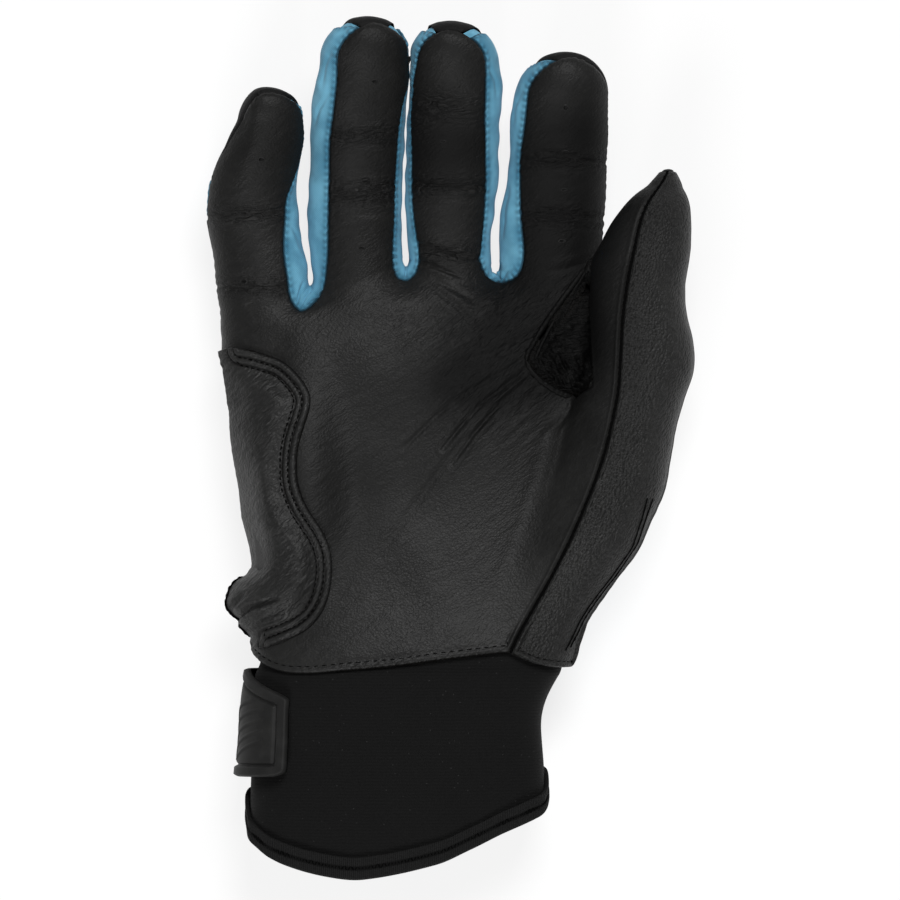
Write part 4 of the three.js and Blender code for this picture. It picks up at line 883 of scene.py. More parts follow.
def pad_relief(base, out, far, along):
    """The foam's well rounded edge"""
    return rolled(far, 0.9, 1.3)


def evenly(share):
    """A mark with one value all over its piece"""
    return lambda base, out, far: np.full(len(base), share)


# Zones of the same kind where the leather gets deep painted shade and a more matt finish, and where its
# painted shade is only slight
DEEP_SHADE_ZONES = ((570, 335, 62, 80), (520, 335, 62, 48), (478, 385, 60, 30), (568, 140, 60, 52),
              (560, 235, 60, 56), (448, 150, 50, 40))
SHADED_ZONES = ((252, 160, 50, 95), (375, 60, 50, 40), (455, 70, 50, 40), (400, 440, 130, 80),
                (352, 170, 60, 130), (448, 230, 50, 50), (340, 520, 50, 50), (662, 215, 40, 45))


def painted_shade(base, out, far):
    """Painted shade, deep beside the thumb and slight on the fingers; the same mark also makes the leather
    more matt
    """
    x, y = base[:, 0], base[:, 1]
    deep = zone_share(x, y, DEEP_SHADE_ZONES)
    slight = zone_share(x, y, SHADED_ZONES)
    return np.clip(deep + slight * 0.36, 0, 1)


def cuff_relief(base, out, far, along):
    """Slack below the hem, and the upper end drawn in under the leather"""
    x, y = base[:, 0], base[:, 1]
    return ripples(x, y, 22, 70, 40, 5, 31) * 0.18 * smooth((-y - 4) / 8) - smooth((y + 5) / 4)


# Pieces laid round the wrist
STRIP_RUN = 50  # millimetres that a strip's weave counts along it


def slab(name, turns, level, outline, low, high, rows, columns, curve):
    """A closed strip round the wrist, between the faces low (along, across) and high (along, across, edge)"""
    u, v = np.meshgrid(np.linspace(0, 1, columns + 1), np.linspace(0, 1, rows + 1), indexing="ij")
    upper, lower = outline(u)
    turn = turns[0] + (turns[1] - turns[0]) * u
    y = level + upper + (lower - upper) * v
    base, out = wrist(turn, y)
    p = base.reshape(columns + 1, rows + 1, 3)
    ring = np.concatenate([p[:, 0], p[-1, 1:], p[-2::-1, -1], p[0, -2:0:-1]])
    ends = np.roll(ring, -1, axis=0)
    edge = np.min([segment_distance(base, ring[k], ends[k])[0] for k in range(len(ring))], axis=0)
    round_off = curve * (1 - np.sqrt(np.clip(1 - (1 - np.clip(edge / curve, 0, 1)) ** 2, 0, 1)))
    u, v = u.ravel(), v.ravel()
    top = base + out * (high(u, v, edge) - round_off * 0.9)[:, None]
    bottom = base + out * low(u, v)[:, None]
    n = (columns + 1) * (rows + 1)
    faces = []
    for i in range(columns):
        for j in range(rows):
            a = i * (rows + 1) + j
            b = a + rows + 1
            faces.append((a, a + 1, b + 1, b))
            faces.append((n + a, n + b, n + b + 1, n + a + 1))
    rim = ([i * (rows + 1) for i in range(columns + 1)]
           + [columns * (rows + 1) + j for j in range(1, rows + 1)]
           + [i * (rows + 1) + rows for i in range(columns - 1, -1, -1)]
           + list(range(rows - 1, 0, -1)))
    for a, b in zip(rim, rim[1:] + rim[:1]):
        faces.append((a, b, n + b, n + a))
    made = piece(name, np.concatenate([top, bottom]), faces)
    turn_out(made)
    measure_map(made, np.tile(edge, 2), np.tile(u * STRIP_RUN, 2))
    return made


# Sizes of the tab and the strap in millimetres, and their ends in degrees round the wrist
TAB_DROP, TAB_LENGTH, TAB_HEIGHT, STRAP_WIDTH, RUBBER = 3.4, 58, 30, 25, 1.9
TAB_MIDDLE = -TAB_DROP - TAB_HEIGHT / 2
TAB_START, TAB_END = 220, 318
STRAP_START, STRAP_END = 163, TAB_START - 0.4
HOOK_START, HOOK_END = TAB_START + 6, TAB_END - 9
LOOP_START, LOOP_END = 216, 300
LOOP_WIDTH = STRAP_WIDTH - 2.6
HOOK_LOW = LOOP_GAUGE + LAYER_GAP
TAB_LOW = HOOK_LOW + HOOK_GAUGE + LAYER_GAP
GRIP_RIBS = (8.5, 12.0, 15.5, 19.0, 22.5)


def straight(width):
    """Outline of a strip of even width"""
    return lambda u: (np.full_like(u, width / 2), np.full_like(u, -width / 2))


def cut_back(width):
    """The tab's end is cut back at its upper corner and rounded at its lower one"""
    def outline(u):
        cut = np.clip((u - 0.62) / 0.38, 0, 1)
        last = np.clip((u - 0.93) / 0.07, 0, 1)
        tight = 1 - np.sqrt(np.clip(1 - last ** 2, 0, 1))
        return width / 2 * (1 - cut * 0.5 - tight * 0.06), -width / 2 * (1 - cut ** 2 * 0.04 - tight * 0.12)
    return outline


def snug(v):
    """The strap's layers lie closer to the wrist near the palm's hem"""
    return 0.58 + 0.42 * v


def climb(u):
    """The strap climbs from the cuff onto the hook tape"""
    return TAB_LOW * np.clip(u / 0.4, 0, 1)


def grips(u, v):
    """Raised grip ribs moulded across the tab's face"""
    s, t = u * TAB_LENGTH, v * TAB_HEIGHT
    slant = t + (s - 40) * 0.45
    ribs = np.zeros_like(u)
    for middle in GRIP_RIBS:
        ribs = np.maximum(ribs, smooth((0.7 - np.abs(slant - middle)) / 0.35))
    return ribs * smooth((np.minimum(s - 26, 51 - s)) / 0.6)


def tab_face(u, v, edge):
    """Raised rim, groove inside it and the ribs on the tab's face"""
    rim = smooth((edge - 0.1) / 0.5) * smooth((3.0 - edge) / 0.5)
    groove = bump(edge - 3.35, 0.4)
    plate = smooth((edge - 4.2) / 0.5)
    return (TAB_LOW + RUBBER) * snug(v) + 0.5 * rim - 0.6 * groove + 0.1 + 0.26 * grips(u, v) * plate


def cuff_edge(turn):
    """Height of the cuff's lower edge round the wrist"""
    return -follow(CUFF_EDGE, turn, 1) * CUFF_LENGTH


SLIT_HALF = 3.5
SLIT_TURN = math.degrees(math.asin(SLIT_HALF / palm_section(np.array([-CUFF_LENGTH / 2]))[2][0]))
TAPE_WIDTH = 6.4
TAPE_STITCHES = (2.4, 4.2)


def edge_tape():
    """Ribbed tape folded over the cuff's edge, from one side of the slit to the other"""
    inner = -LAYER_GAP * 2 - NEOPRENE
    profile = [(0.95, TAPE_WIDTH), (1.15, TAPE_WIDTH - 0.25)]
    profile += [(1.15 - 0.42 * bump(r - 3.3, 0.55) - 0.1 * bump(r - 4.6, 0.3), r)
                for r in np.linspace(6, 1.2, 16)]
    middle, half = (1.1 + inner - 1) / 2, (1.1 - inner + 1) / 2
    profile += [(middle + half * math.cos(a), 1 - 1.1 * math.sin(a))
                for a in np.linspace(0.15, math.pi - 0.15, 13)]
    profile += [(inner - 1, 1.4), (inner - 1, TAPE_WIDTH), (inner, TAPE_WIDTH), (inner, 1.3),
                (0, 1.3), (0, TAPE_WIDTH)]
    turns = np.linspace(SLIT_TURN - 180, 180 - SLIT_TURN, 421)
    columns = []
    run = run_along(wrist(turns, cuff_edge(turns))[0])
    wave = 0.1 * ripples(run, run * 0, 7, 0, 5, 5, 41)
    for offset, rise in profile:
        base, out = wrist(turns, cuff_edge(turns) + rise)
        lift = offset + (wave if offset > 0.5 else 0)
        columns.append(base + out * np.broadcast_to(lift, len(turns))[:, None])
    p = np.stack(columns, axis=1)
    n = len(profile)
    faces = ring_faces(len(turns), n)
    faces += [tuple(range(n))[::-1], tuple(range((len(turns) - 1) * n, len(turns) * n))]
    made = piece("edge_tape", p.reshape(-1, 3), faces)
    turn_out(made)
    rises = np.array([r for _, r in profile])
    measure_map(made, np.tile(rises, len(turns)), np.repeat(run, n))
    return made


def tube(name, line, radius, seed, uneven=0.12):
    """A cord along a line of places, uneven as sewn leather is, closed and tapered at its ends"""
    sides, flat = 10, 0.85
    length = run_along(line)[-1]
    run = np.linspace(0, length, max(int(length / 0.35), 8))
    line = at_runs(line, run)
    soften(line, 4)
    ways = unit(np.gradient(line, axis=0))
    out = squared(outward(line)[0], ways)
    across = np.cross(out, ways)
    ends = np.sqrt(np.clip(np.minimum(run, run[-1] - run) / (radius * 2), 0.02, 1))
    wide = radius * ends * (1 + uneven * ripples(run, run * 0, 1.7, 0, 5, 6, seed))
    points = []
    for k in range(sides):
        a = 2 * math.pi * k / sides
        points.append(line + across * (math.cos(a) * wide)[:, None]
                      + out * (math.sin(a) * wide * flat)[:, None])
    points = np.stack(points, axis=1)
    n = len(run)
    faces = ring_faces(n, sides) + [tuple(range(sides)), tuple(range((n - 1) * sides, n * sides))]
    made = piece(name, points.reshape(-1, 3), faces)
    turn_out(made)
    measure_map(made, np.full(n * sides, CLEAR_OF_SEAM), np.repeat(run, sides))
    return made


ABOVE_ALL = 80  # millimetres, higher than any piece
DOWN = Vector((0, 0, -1))


def laid(nodes, route, lift):
    """Places over the highest faces of the named pieces, along a route drawn in the picture"""
    route = np.array([plan(*q) for q in route])
    length = run_along(route)[-1]
    line = []
    for x, y in at_runs(route, np.linspace(0, length, int(length / 0.6) + 2)):
        tops = [skins[node].ray_cast(Vector((x, y, ABOVE_ALL)), DOWN)[0] for node in nodes]
        tops = [q.z for q in tops if q is not None]
        if tops:
            line.append((x, y, max(tops) + lift))
    line = np.array(line)
    soften(line[:, 2], 6)
    return line


def capsules(name, places, ways, outs, length, thick):
    """Short rounded threads, one at each place, lying along its way"""
    ring, flat = 6, 0.6
    rows = [(-1.0, 0.0), (-0.82, 0.7), (0.0, 1.0), (0.82, 0.7), (1.0, 0.0)]
    points, faces = [], []
    for q, way, out in zip(places, ways, outs):
        across = np.cross(out, way)
        start = len(points)
        for along, wide in rows:
            for k in range(ring):
                a = 2 * math.pi * k / ring
                points.append(q + way * along * length / 2 + across * math.cos(a) * wide * thick / 2
                              + out * math.sin(a) * wide * thick / 2 * flat)
        faces += ring_faces(len(rows), ring, start)
    made = piece(name, points, faces)
    turn_out(made, merge=1e-7)
    return made


def beside(node, other, reach):
    """The longest stretch of a piece's border beside another piece, midway between the two"""
    best = []
    for rim in rims[node]:
        found = [skins[other].find_nearest(Vector(q)) for q in rim]
        near = np.array([f[3] < reach for f in found])
        middle = np.array([(q + np.array(f[0])) / 2 for q, f in zip(rim, found)])
        turn = -int(np.flatnonzero(~near)[0]) if (~near).any() else 0
        near, middle = np.roll(near, turn), np.roll(middle, turn, axis=0)
        run = []
        for q, ok in zip(middle, near):
            run = run + [q] if ok else []
            if len(run) > len(best):
                best = run
    return np.array(best)


def sewn_line(node, distance, keep, pitch):
    """Places at an even pitch along a line inside a piece's border, with the way along and the way out"""
    skin = skins[node]
    runs = []
    for rim in rims[node]:
        ahead = unit(np.roll(rim, -1, axis=0) - np.roll(rim, 1, axis=0))
        _, out = settle(rim)
        inward = np.cross(out, ahead)
        use = keep(rim)
        turn = -int(np.flatnonzero(~use)[0]) if (~use).any() else 0
        runs.append([])
        for q, way, ok in zip(*(np.roll(part, turn, axis=0) for part in (rim, inward, use))):
            aside = way * distance
            found = [skin.find_nearest(Vector(p))[0] for p in (q + aside, q - aside)] if ok else []
            spot = max(found, key=lambda f: (f - Vector(q)).length, default=None)
            if spot is not None and (spot - Vector(q)).length > distance * 0.5:
                runs[-1].append(np.array(spot))
            elif runs[-1]:
                runs.append([])
    places, ways = [], []
    for run in runs:
        line = np.array(run)
        if len(line) < 8:
            continue
        soften(line, 3)
        wanted = np.arange(pitch / 2, run_along(line)[-1], pitch)
        if len(wanted) > 2:
            places.append(at_runs(line, wanted))
            ways.append(np.gradient(places[-1], axis=0))
    places, ways = np.concatenate(places), np.concatenate(ways)
    outs = []
    for k, q in enumerate(places):
        found = skin.find_nearest(Vector(q))
        normal = np.array(found[1])
        outs.append(normal if normal @ outward(q[None])[0][0] > 0 else -normal)
        places[k] = np.array(found[0])
    outs = np.array(outs)
    return places, squared(ways, outs), outs


def vent(name, holes, node):
    """Small punched holes, each a sunk disc with a low leather lip round it; the disc carries painted shade
    that stands for the hole's depth
    """
    skin = skins[node]
    rings = ((0.01, 0.04), (0.5, 0.05), (0.8, 0.06), (0.95, 0.14), (1.1, 0.16), (1.3, 0.1), (1.5, -0.05))
    sunk = 4
    points, faces, ring = [], [], 16
    for column, row, long, wide in holes:
        x, y = plan(column, row)
        found = skin.ray_cast(Vector((x, y, ABOVE_ALL)), DOWN)
        centre, out = np.array(found[0]), np.array(found[1])
        out = out if out[2] > 0 else -out
        way = np.cross([0, 1, 0], out)
        way /= np.linalg.norm(way)
        across = np.cross(out, way)
        start = len(points)
        for grow, lift in rings:
            for k in range(ring):
                a = 2 * math.pi * k / ring
                points.append(centre + way * math.cos(a) * long / 2 * grow
                              + across * math.sin(a) * wide / 2 * grow + out * lift)
        faces += ring_faces(len(rings), ring, start)
    made = piece(name, points, faces)
    turn_out(made)
    place = np.arange(len(points)) % (ring * len(rings)) // ring
    # The sunk disc is marked for painted shade
    mark(made, "HoleShade", (place < sunk).astype(float))
    return made


# Materials
class Wire:
    """A socket of a material, with the sums that materials need"""

    def __init__(self, paint, socket):
        self.paint, self.socket = paint, socket

    def sum(self, operation, *values):
        return self.paint.node("ShaderNodeMath", {"operation": operation}, dict(enumerate(values)))

    def __add__(self, other): return self.sum("ADD", self, other)
    def __radd__(self, other): return self.sum("ADD", other, self)
    def __sub__(self, other): return self.sum("SUBTRACT", self, other)
    def __rsub__(self, other): return self.sum("SUBTRACT", other, self)
    def __mul__(self, other): return self.sum("MULTIPLY", self, other)
    def __rmul__(self, other): return self.sum("MULTIPLY", other, self)
    def sin(self): return self.sum("SINE", self)
    def size(self): return self.sum("ABSOLUTE", self)
    def most(self, other): return self.sum("MAXIMUM", self, other)

    def wave(self, pitch):
        """Waves of the given pitch along a length, from -1 to 1"""
        return (self * (2 * math.pi / pitch)).sin()

    def part(self, axis):
        return self.paint.node("ShaderNodeSeparateXYZ", None, {"Vector": self}, axis)

    def step(self, low, high):
        """Eased step from 0 at one value to 1 at the other"""
        return self.paint.node("ShaderNodeMapRange", {"interpolation_type": "SMOOTHSTEP"},
                               {0: self, 1: low, 2: high, 3: 0, 4: 1})


class Paint:
    """A material under construction"""

    def __init__(self, name):
        self.material = bpy.data.materials.new(name)
        self.material.use_nodes = True
        self.tree = self.material.node_tree
        self.shader = self.tree.nodes["Principled BSDF"]

    def node(self, kind, settings=None, inputs=None, out=0):
        """A node of any other kind: its settings first, then the values or links of its sockets"""
        made = self.tree.nodes.new(kind)
        for key, value in (settings or {}).items():
            setattr(made, key, value)
        for key, value in (inputs or {}).items():
            socket = made.inputs[key]
            if isinstance(value, Wire):
                self.tree.links.new(value.socket, socket)
            else:
                socket.default_value = value
        return Wire(self, made.outputs[out])

    def place(self):
        return self.node("ShaderNodeTexCoord", out="Object")

    def seam(self):
        """Distance from the border and run along it, in millimetres"""
        both = self.node("ShaderNodeUVMap", {"uv_map": "Seam"})
        return both.part("X"), both.part("Y")

    def marked(self, name):
        return self.node("ShaderNodeAttribute", {"attribute_name": name}, out="Fac")

    def stretched(self, place, long=(1, 1, 1), turn=0.0):
        """The place turned in the plan and drawn out, so that a pattern on it runs along that way"""
        return self.node("ShaderNodeMapping", {"vector_type": "TEXTURE"},
                         {"Vector": place, "Scale": long, "Rotation": (0, 0, math.radians(turn))})

    def noise(self, place, scale, detail=2.0, rough=0.5):
        return self.node("ShaderNodeTexNoise", None,
                         {"Vector": place, "Scale": scale, "Detail": detail, "Roughness": rough}, "Fac")

    def cells(self, place, scale):
        return self.node("ShaderNodeTexVoronoi", None, {"Vector": place, "Scale": scale}, "Distance")

    def mix(self, a, b, share):
        return self.node("ShaderNodeMix", {"data_type": "RGBA"},
                         {0: share, 6: self.colour(a), 7: self.colour(b)}, 2)

    @staticmethod
    def colour(value):
        return value if isinstance(value, Wire) else (*value, 1)

    def bump(self, height, distance, strength=1.0, after=None):
        inputs = {"Height": height, "Distance": distance, "Strength": strength}
        if after is not None:
            inputs["Normal"] = after
        return self.node("ShaderNodeBump", None, inputs, "Normal")

    def finish(self, colour, roughness, normal=None, **fixed):
        """Links or sets what varies, sets what is the same all over, and gives the material"""
        for key, value in {"Base Color": colour, "Roughness": roughness, "Normal": normal}.items():
            if isinstance(value, Wire):
                self.tree.links.new(value.socket, self.shader.inputs[key])
            elif value is not None:
                self.shader.inputs[key].default_value = (*value, 1) if key == "Base Color" else value
        for key, value in fixed.items():
            self.shader.inputs[key.replace("_", " ")].default_value = value
        return self.material


# Pitch of the puckers along the seams, in millimetres
LEATHER_PUCKER = 2.1
KNIT_PUCKER = 1.9


def leather(name, dark, light, pebble=1900, depth=0.1, rough=0.42, specular=0.16, way=35, rows=(),
            raw=(0.003, 0.0028, 0.0026)):
    """Grained hide: domed pebbles, fine lines, wrinkles where it is gathered, painted shade in the wrinkles,
    in the grooves of its stitched rows and in its marked zones, and its cut edge dark along its seams
    """
    paint = Paint(name)
    place = paint.place()
    far, along = paint.seam()
    hide = paint.stretched(place, (1.35, 1, 1), way)
    domes = 1 - paint.cells(hide, pebble)
    fine = paint.noise(hide, pebble * 1.7, 3, 0.6)
    lines = paint.noise(paint.stretched(place, (2.6, 1, 1.4), way), 950, 3, 0.55)
    gathered = paint.noise(paint.stretched(place, (3.4, 1, 1.5), 4), 640, 4, 0.55)
    across = (1 - (gathered * 2 - 1).size() * 3.4).most(0)
    drawn = paint.noise(paint.stretched(place, (4.2, 1, 2), 41), 760, 3, 0.55)
    pulled = (1 - (drawn * 2 - 1).size() * 3.2).most(0)
    folds, pulls, shade_and_matt = paint.marked("Folds"), paint.marked("Pulls"), paint.marked("ShadeAndMatt")
    cloud = paint.noise(place, 55, 3)
    worn = paint.noise(place, 520, 3)
    tone = paint.mix(dark, light, cloud.step(0.3, 0.75) * 0.45 + domes * 0.3 + worn.step(0.45, 0.8) * 0.25)
    # Painted shade in the valleys of the marked wrinkles
    tone = paint.mix(tone, [c * 0.2 for c in dark], (across * folds * 0.85).most(pulled * pulls * 0.5))
    # Painted shade where the leather is marked, deep beside the thumb
    tone = paint.mix(tone, [c * 0.05 for c in dark], shade_and_matt * 0.95)
    # Painted shade in the grooves of the stitched rows
    for row in rows:
        tone = paint.mix(tone, raw, (far - row).size().step(0.7, 0.25) * 0.85)
    colour = paint.mix(raw, tone, far.step(0.1, 0.42))
    puckers = along.wave(LEATHER_PUCKER) * far.step(2.2, 0.3)
    normal = paint.bump(domes * 0.8 + fine * 0.4, depth / 1000)
    normal = paint.bump(1 - across * folds, 0.00036, 1.0, normal)
    normal = paint.bump(1 - pulled * pulls, 0.00018, 1.0, normal)
    normal = paint.bump(lines * 0.8 + puckers * 0.2, 0.00012, 1.0, normal)
    return paint.finish(colour, rough + worn * 0.12 + domes * -0.05 + shade_and_matt * 0.2, normal,
                        Specular_IOR_Level=specular)


def knit(name, dark, light, pitch=0.62):
    """Stretch fabric: fine rows of loops, puckered where it is sewn in, with painted shade towards its seams
    and in its puckers
    """
    paint = Paint(name)
    place = paint.place()
    far, along = paint.seam()
    weave = place.part("Y").wave(pitch / 1000) * place.part("X").wave(pitch / 1000)
    puckers = along.wave(KNIT_PUCKER) * 0.5 + 0.5
    deep = far.step(2.0, 0.2)
    cloud = paint.noise(place, 140, 3)
    # Painted shade: darker towards the seams, lighter away from them
    tone = paint.mix(dark, light, cloud.step(0.3, 0.7) * 0.5 + weave * 0.12 + far.step(0.5, 3.0) * 0.35)
    # Painted shade in the puckers beside the seams
    tone = paint.mix(tone, [c * 0.5 for c in dark], puckers * deep * 0.55)
    colour = paint.mix([c * 0.3 for c in dark], tone, far.step(0.1, 0.55))
    normal = paint.bump(weave * 0.3 + paint.noise(place, 2600, 2) * 0.4, 0.00009)
    normal = paint.bump(puckers * deep, 0.0003, 0.8, normal)
    return paint.finish(colour, 0.8, normal, Sheen_Weight=0.08, Sheen_Roughness=0.5, Specular_IOR_Level=0.2)


def rows_of_loops(name, dark, light, pitch):
    """Foam rubber faced with a jersey whose rows run round the wrist"""
    paint = Paint(name)
    place = paint.place()
    wobble = paint.noise(place, 160, 2) * 0.0006
    rows = (place.part("Y") + wobble).wave(pitch / 1000) * 0.5 + 0.5
    stitches = paint.noise(paint.stretched(place, (0.5, 1, 0.5)), 2400, 2)
    lint = paint.cells(place, 430).step(0.1, 0.03)
    cloud = paint.noise(place, 70, 2)
    tone = paint.mix(dark, light, rows * 0.18 + stitches.step(0.3, 0.7) * 0.5 + cloud * 0.2)
    tone = paint.mix(tone, [c * 5 for c in light], lint * 0.5)
    normal = paint.bump(rows * 0.4 + stitches * 0.7, 0.00012)
    return paint.finish(tone, 0.85, normal, Sheen_Weight=0.03, Specular_IOR_Level=0.06)


def ribbed(name, dark, light, pitch):
    """Woven tape with ribs across it, dark along its sewn line"""
    paint = Paint(name)
    place = paint.place()
    far, along = paint.seam()
    ribs = along.wave(pitch) * 0.5 + 0.5
    threads = paint.noise(place, 2600, 2)
    sewn = (far - sum(TAPE_STITCHES) / 2).size().step(0.9, 0.3)
    tone = paint.mix(dark, light, ribs * 0.55 + threads.step(0.3, 0.7) * 0.35)
    colour = paint.mix(tone, [c * 0.35 for c in dark], sewn * 0.75)
    normal = paint.bump(ribs + threads * 0.4, 0.00012)
    return paint.finish(colour, 0.8, normal, Specular_IOR_Level=0.08)


def pile(name, dark, light, scale, depth):
    """Hook or loop tape"""
    paint = Paint(name)
    place = paint.place()
    tufts = paint.cells(place, scale)
    tone = paint.mix(light, dark, tufts.step(0.1, 0.6))
    normal = paint.bump(1 - tufts, depth / 1000)
    return paint.finish(tone, 0.92, normal, Sheen_Weight=0.05, Specular_IOR_Level=0.1)


def moulded(name, dark, light):
    """Matt moulded rubber with a fine spark-eroded grain and rubbed patches"""
    paint = Paint(name)
    place = paint.place()
    grain = paint.noise(place, 3200, 2)
    rubbed = paint.noise(place, 200, 4)
    tone = paint.mix(dark, light, rubbed.step(0.4, 0.75) * 0.6 + grain * 0.2)
    normal = paint.bump(grain, 0.00004)
    normal = paint.bump(paint.noise(place, 260, 2), 0.00008, 0.5, normal)
    return paint.finish(tone, 0.5 + rubbed * 0.14, normal, Specular_IOR_Level=0.16)


def thread(name, dark, light):
    """Dull twisted thread"""
    paint = Paint(name)
    place = paint.place()
    twist = paint.noise(place, 3500, 2)
    colour = paint.mix(dark, light, twist)
    return paint.finish(colour, 0.8, paint.bump(twist, 0.00005), Specular_IOR_Level=0.02)


def punched(name):
    """Leather lip round a hole, with painted shade on the disc inside it"""
    paint = Paint(name)
    inside = paint.marked("HoleShade")
    grain = paint.noise(paint.place(), 2500, 2)
    tone = paint.mix((0.008, 0.008, 0.008), (0.018, 0.018, 0.0175), grain)
    # Painted shade on the disc that stands for the hole's depth
    colour = paint.mix(tone, (0.001, 0.001, 0.001), inside.step(0.2, 0.9))
    return paint.finish(colour, 0.5, paint.bump(grain, 0.00005), Specular_IOR_Level=0.12)


def foam_grain(name):
    """Open-celled foam"""
    paint = Paint(name)
    cells = paint.cells(paint.place(), 2200)
    colour = paint.mix((0.02, 0.02, 0.02), (0.05, 0.05, 0.05), cells)
    return paint.finish(colour, 0.9, paint.bump(cells, 0.0001))


palm_hide = leather("palm_hide", (0.0085, 0.0085, 0.0083), (0.021, 0.021, 0.0205))
heel_hide = leather("heel_hide", (0.010, 0.010, 0.0098), (0.028, 0.028, 0.0275), pebble=1250, depth=0.15,
                    rough=0.43, specular=0.22, way=50, rows=HEEL_ROWS)
thumb_hide = leather("thumb_hide", (0.006, 0.006, 0.0058), (0.019, 0.019, 0.0185), pebble=1350, depth=0.5,
                     rough=0.44, specular=0.24, way=60)
# The gusset hide is darker than the palm hide: partly its own black, partly painted shade of the deep fold
# between thumb and index
gusset_hide = leather("gusset_hide", (0.002, 0.002, 0.002), (0.007, 0.007, 0.0068), pebble=1700, rough=0.5,
                      specular=0.07, way=80)
back_cloth = leather("back_cloth", (0.006, 0.006, 0.006), (0.014, 0.014, 0.0142), pebble=2300, rough=0.6,
                     specular=0.1, raw=(0.006, 0.006, 0.006))
blue_knit = knit("blue_knit", (0.036, 0.155, 0.25), (0.17, 0.44, 0.60))
neoprene = rows_of_loops("neoprene", (0.0035, 0.0035, 0.0035), (0.0085, 0.0085, 0.0085), 0.9)
edge_rib = ribbed("edge_rib", (0.004, 0.004, 0.004), (0.015, 0.015, 0.015), 0.56)
webbing = ribbed("webbing", (0.005, 0.005, 0.005), (0.016, 0.016, 0.0165), 0.8)
loop_pile = pile("loop_pile", (0.003, 0.003, 0.003), (0.012, 0.012, 0.012), 1500, 0.3)
hook_pile = pile("hook_pile", (0.003, 0.003, 0.003), (0.013, 0.013, 0.013), 1000, 0.3)
rubber = moulded("rubber", (0.010, 0.010, 0.0098), (0.020, 0.020, 0.0195))
black_thread = thread("black_thread", (0.0008, 0.0008, 0.0008), (0.003, 0.003, 0.003))
hole_lip = punched("hole_lip")
foam = foam_grain("foam")


def fit(made, material, body="hand", nodes=()):
    """Gives a finished piece its material and its body, and hides the cut nodes that it stands for"""
    made.data.materials.clear()
    made.data.materials.append(material)
    if nodes:
        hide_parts(*nodes)
    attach(made, body)
    return made


# The hand of the glove
fit(dress("palm_leather", LEATHER / 2, LEATHER, 3, palm_relief, shape=thumb_point, ease=thumb_valley,
          marks={"Folds": joint_folds, "Pulls": palm_pulls, "ShadeAndMatt": painted_shade}),
    palm_hide, nodes=["palm_leather"])
fit(dress("thumb_outer", LEATHER / 2, LEATHER, 4, thumb_relief, shape=thumb_point,
          marks={"ShadeAndMatt": painted_shade}), thumb_hide, nodes=["thumb_outer"])
fit(dress("thumb_back", LEATHER / 2, LEATHER, 3, plain, shape=thumb_point), back_cloth,
    nodes=["thumb_back"])
fit(dress("thumb_gusset", LEATHER / 2, 0.5, 4, gusset_relief, depth=0.5, flare=1.2, shape=thumb_point,
          lining=-2.6, marks={"Folds": evenly(0.8)}), gusset_hide, nodes=["thumb_gusset"])
fit(dress("back_leather", LEATHER / 2, LEATHER, 3, back_relief, shape=side_ease), back_cloth,
    nodes=["back_leather"])
fit(dress("wrist_trim", STRETCH / 2, STRETCH, 3, stretch_relief), blue_knit,
    nodes=["wrist_trim"])
for web in ("pinky_ring", "ring_middle", "middle_index"):
    node = "fourchette_" + web
    fit(dress(node, STRETCH / 2, STRETCH - 0.15, 4, stretch_relief), blue_knit, nodes=[node])
for finger in FINGERS:
    knuckle, tip = "knuckle_" + finger, "tip_" + finger
    fit(dress(knuckle, STRETCH / 2, STRETCH, 4, stretch_relief, shape=side_ease), blue_knit,
        nodes=[knuckle])
    fit(dress(tip, LEATHER / 2, LEATHER - 0.5, 3, plain, shape=side_ease), back_cloth,
        nodes=[tip])

# The padded patch on the heel of the hand
patch = dress("heel_patch", None, PATCH_LEVEL, 4, patch_relief, depth=1.25, marks={"Pulls": evenly(0.7)},
              edge=curved_edge, lining=None)
fit(patch, heel_hide, nodes=["heel_patch"])
pad = dress("heel_pad", None, LEATHER + 0.1 + FOAM, 3, pad_relief, depth=0.9, lining=None)
fit(pad, foam, nodes=["heel_pad"])

# Cuff and strap
fit(dress("cuff_body", -LAYER_GAP - 1.5, -LAYER_GAP, 3, cuff_relief, depth=NEOPRENE, inset=0,
          lining=-LAYER_GAP - NEOPRENE + 0.1), neoprene, nodes=["cuff_body"])
fit(edge_tape(), edge_rib, nodes=["cuff_binding"])
fit(slab("loop_strip", (LOOP_START, LOOP_END), TAB_MIDDLE, straight(LOOP_WIDTH),
         lambda u, v: 0 * u, lambda u, v, edge: LOOP_GAUGE * snug(v), rows=10, columns=40, curve=0.2),
    loop_pile, nodes=["loop_patch"])
fit(slab("hook_strip", (HOOK_START, HOOK_END), TAB_MIDDLE, cut_back(STRAP_WIDTH),
         lambda u, v: HOOK_LOW * snug(v), lambda u, v, edge: (HOOK_LOW + HOOK_GAUGE) * snug(v),
         rows=10, columns=40, curve=0.3),
    hook_pile, "tab", ["hook_pad"])
fit(slab("strap_web", (STRAP_START, STRAP_END), TAB_MIDDLE, straight(STRAP_WIDTH),
         lambda u, v: climb(u) * snug(v), lambda u, v, edge: climb(u) * snug(v) + WEBBING,
         rows=24, columns=60, curve=0.35),
    webbing, "strap", ["strap_band"])
fit(slab("tab", (TAB_START, TAB_END), TAB_MIDDLE, cut_back(TAB_HEIGHT), lambda u, v: TAB_LOW * snug(v),
         tab_face, rows=110, columns=190, curve=0.6),
    rubber, "tab", ["pull_tab"])

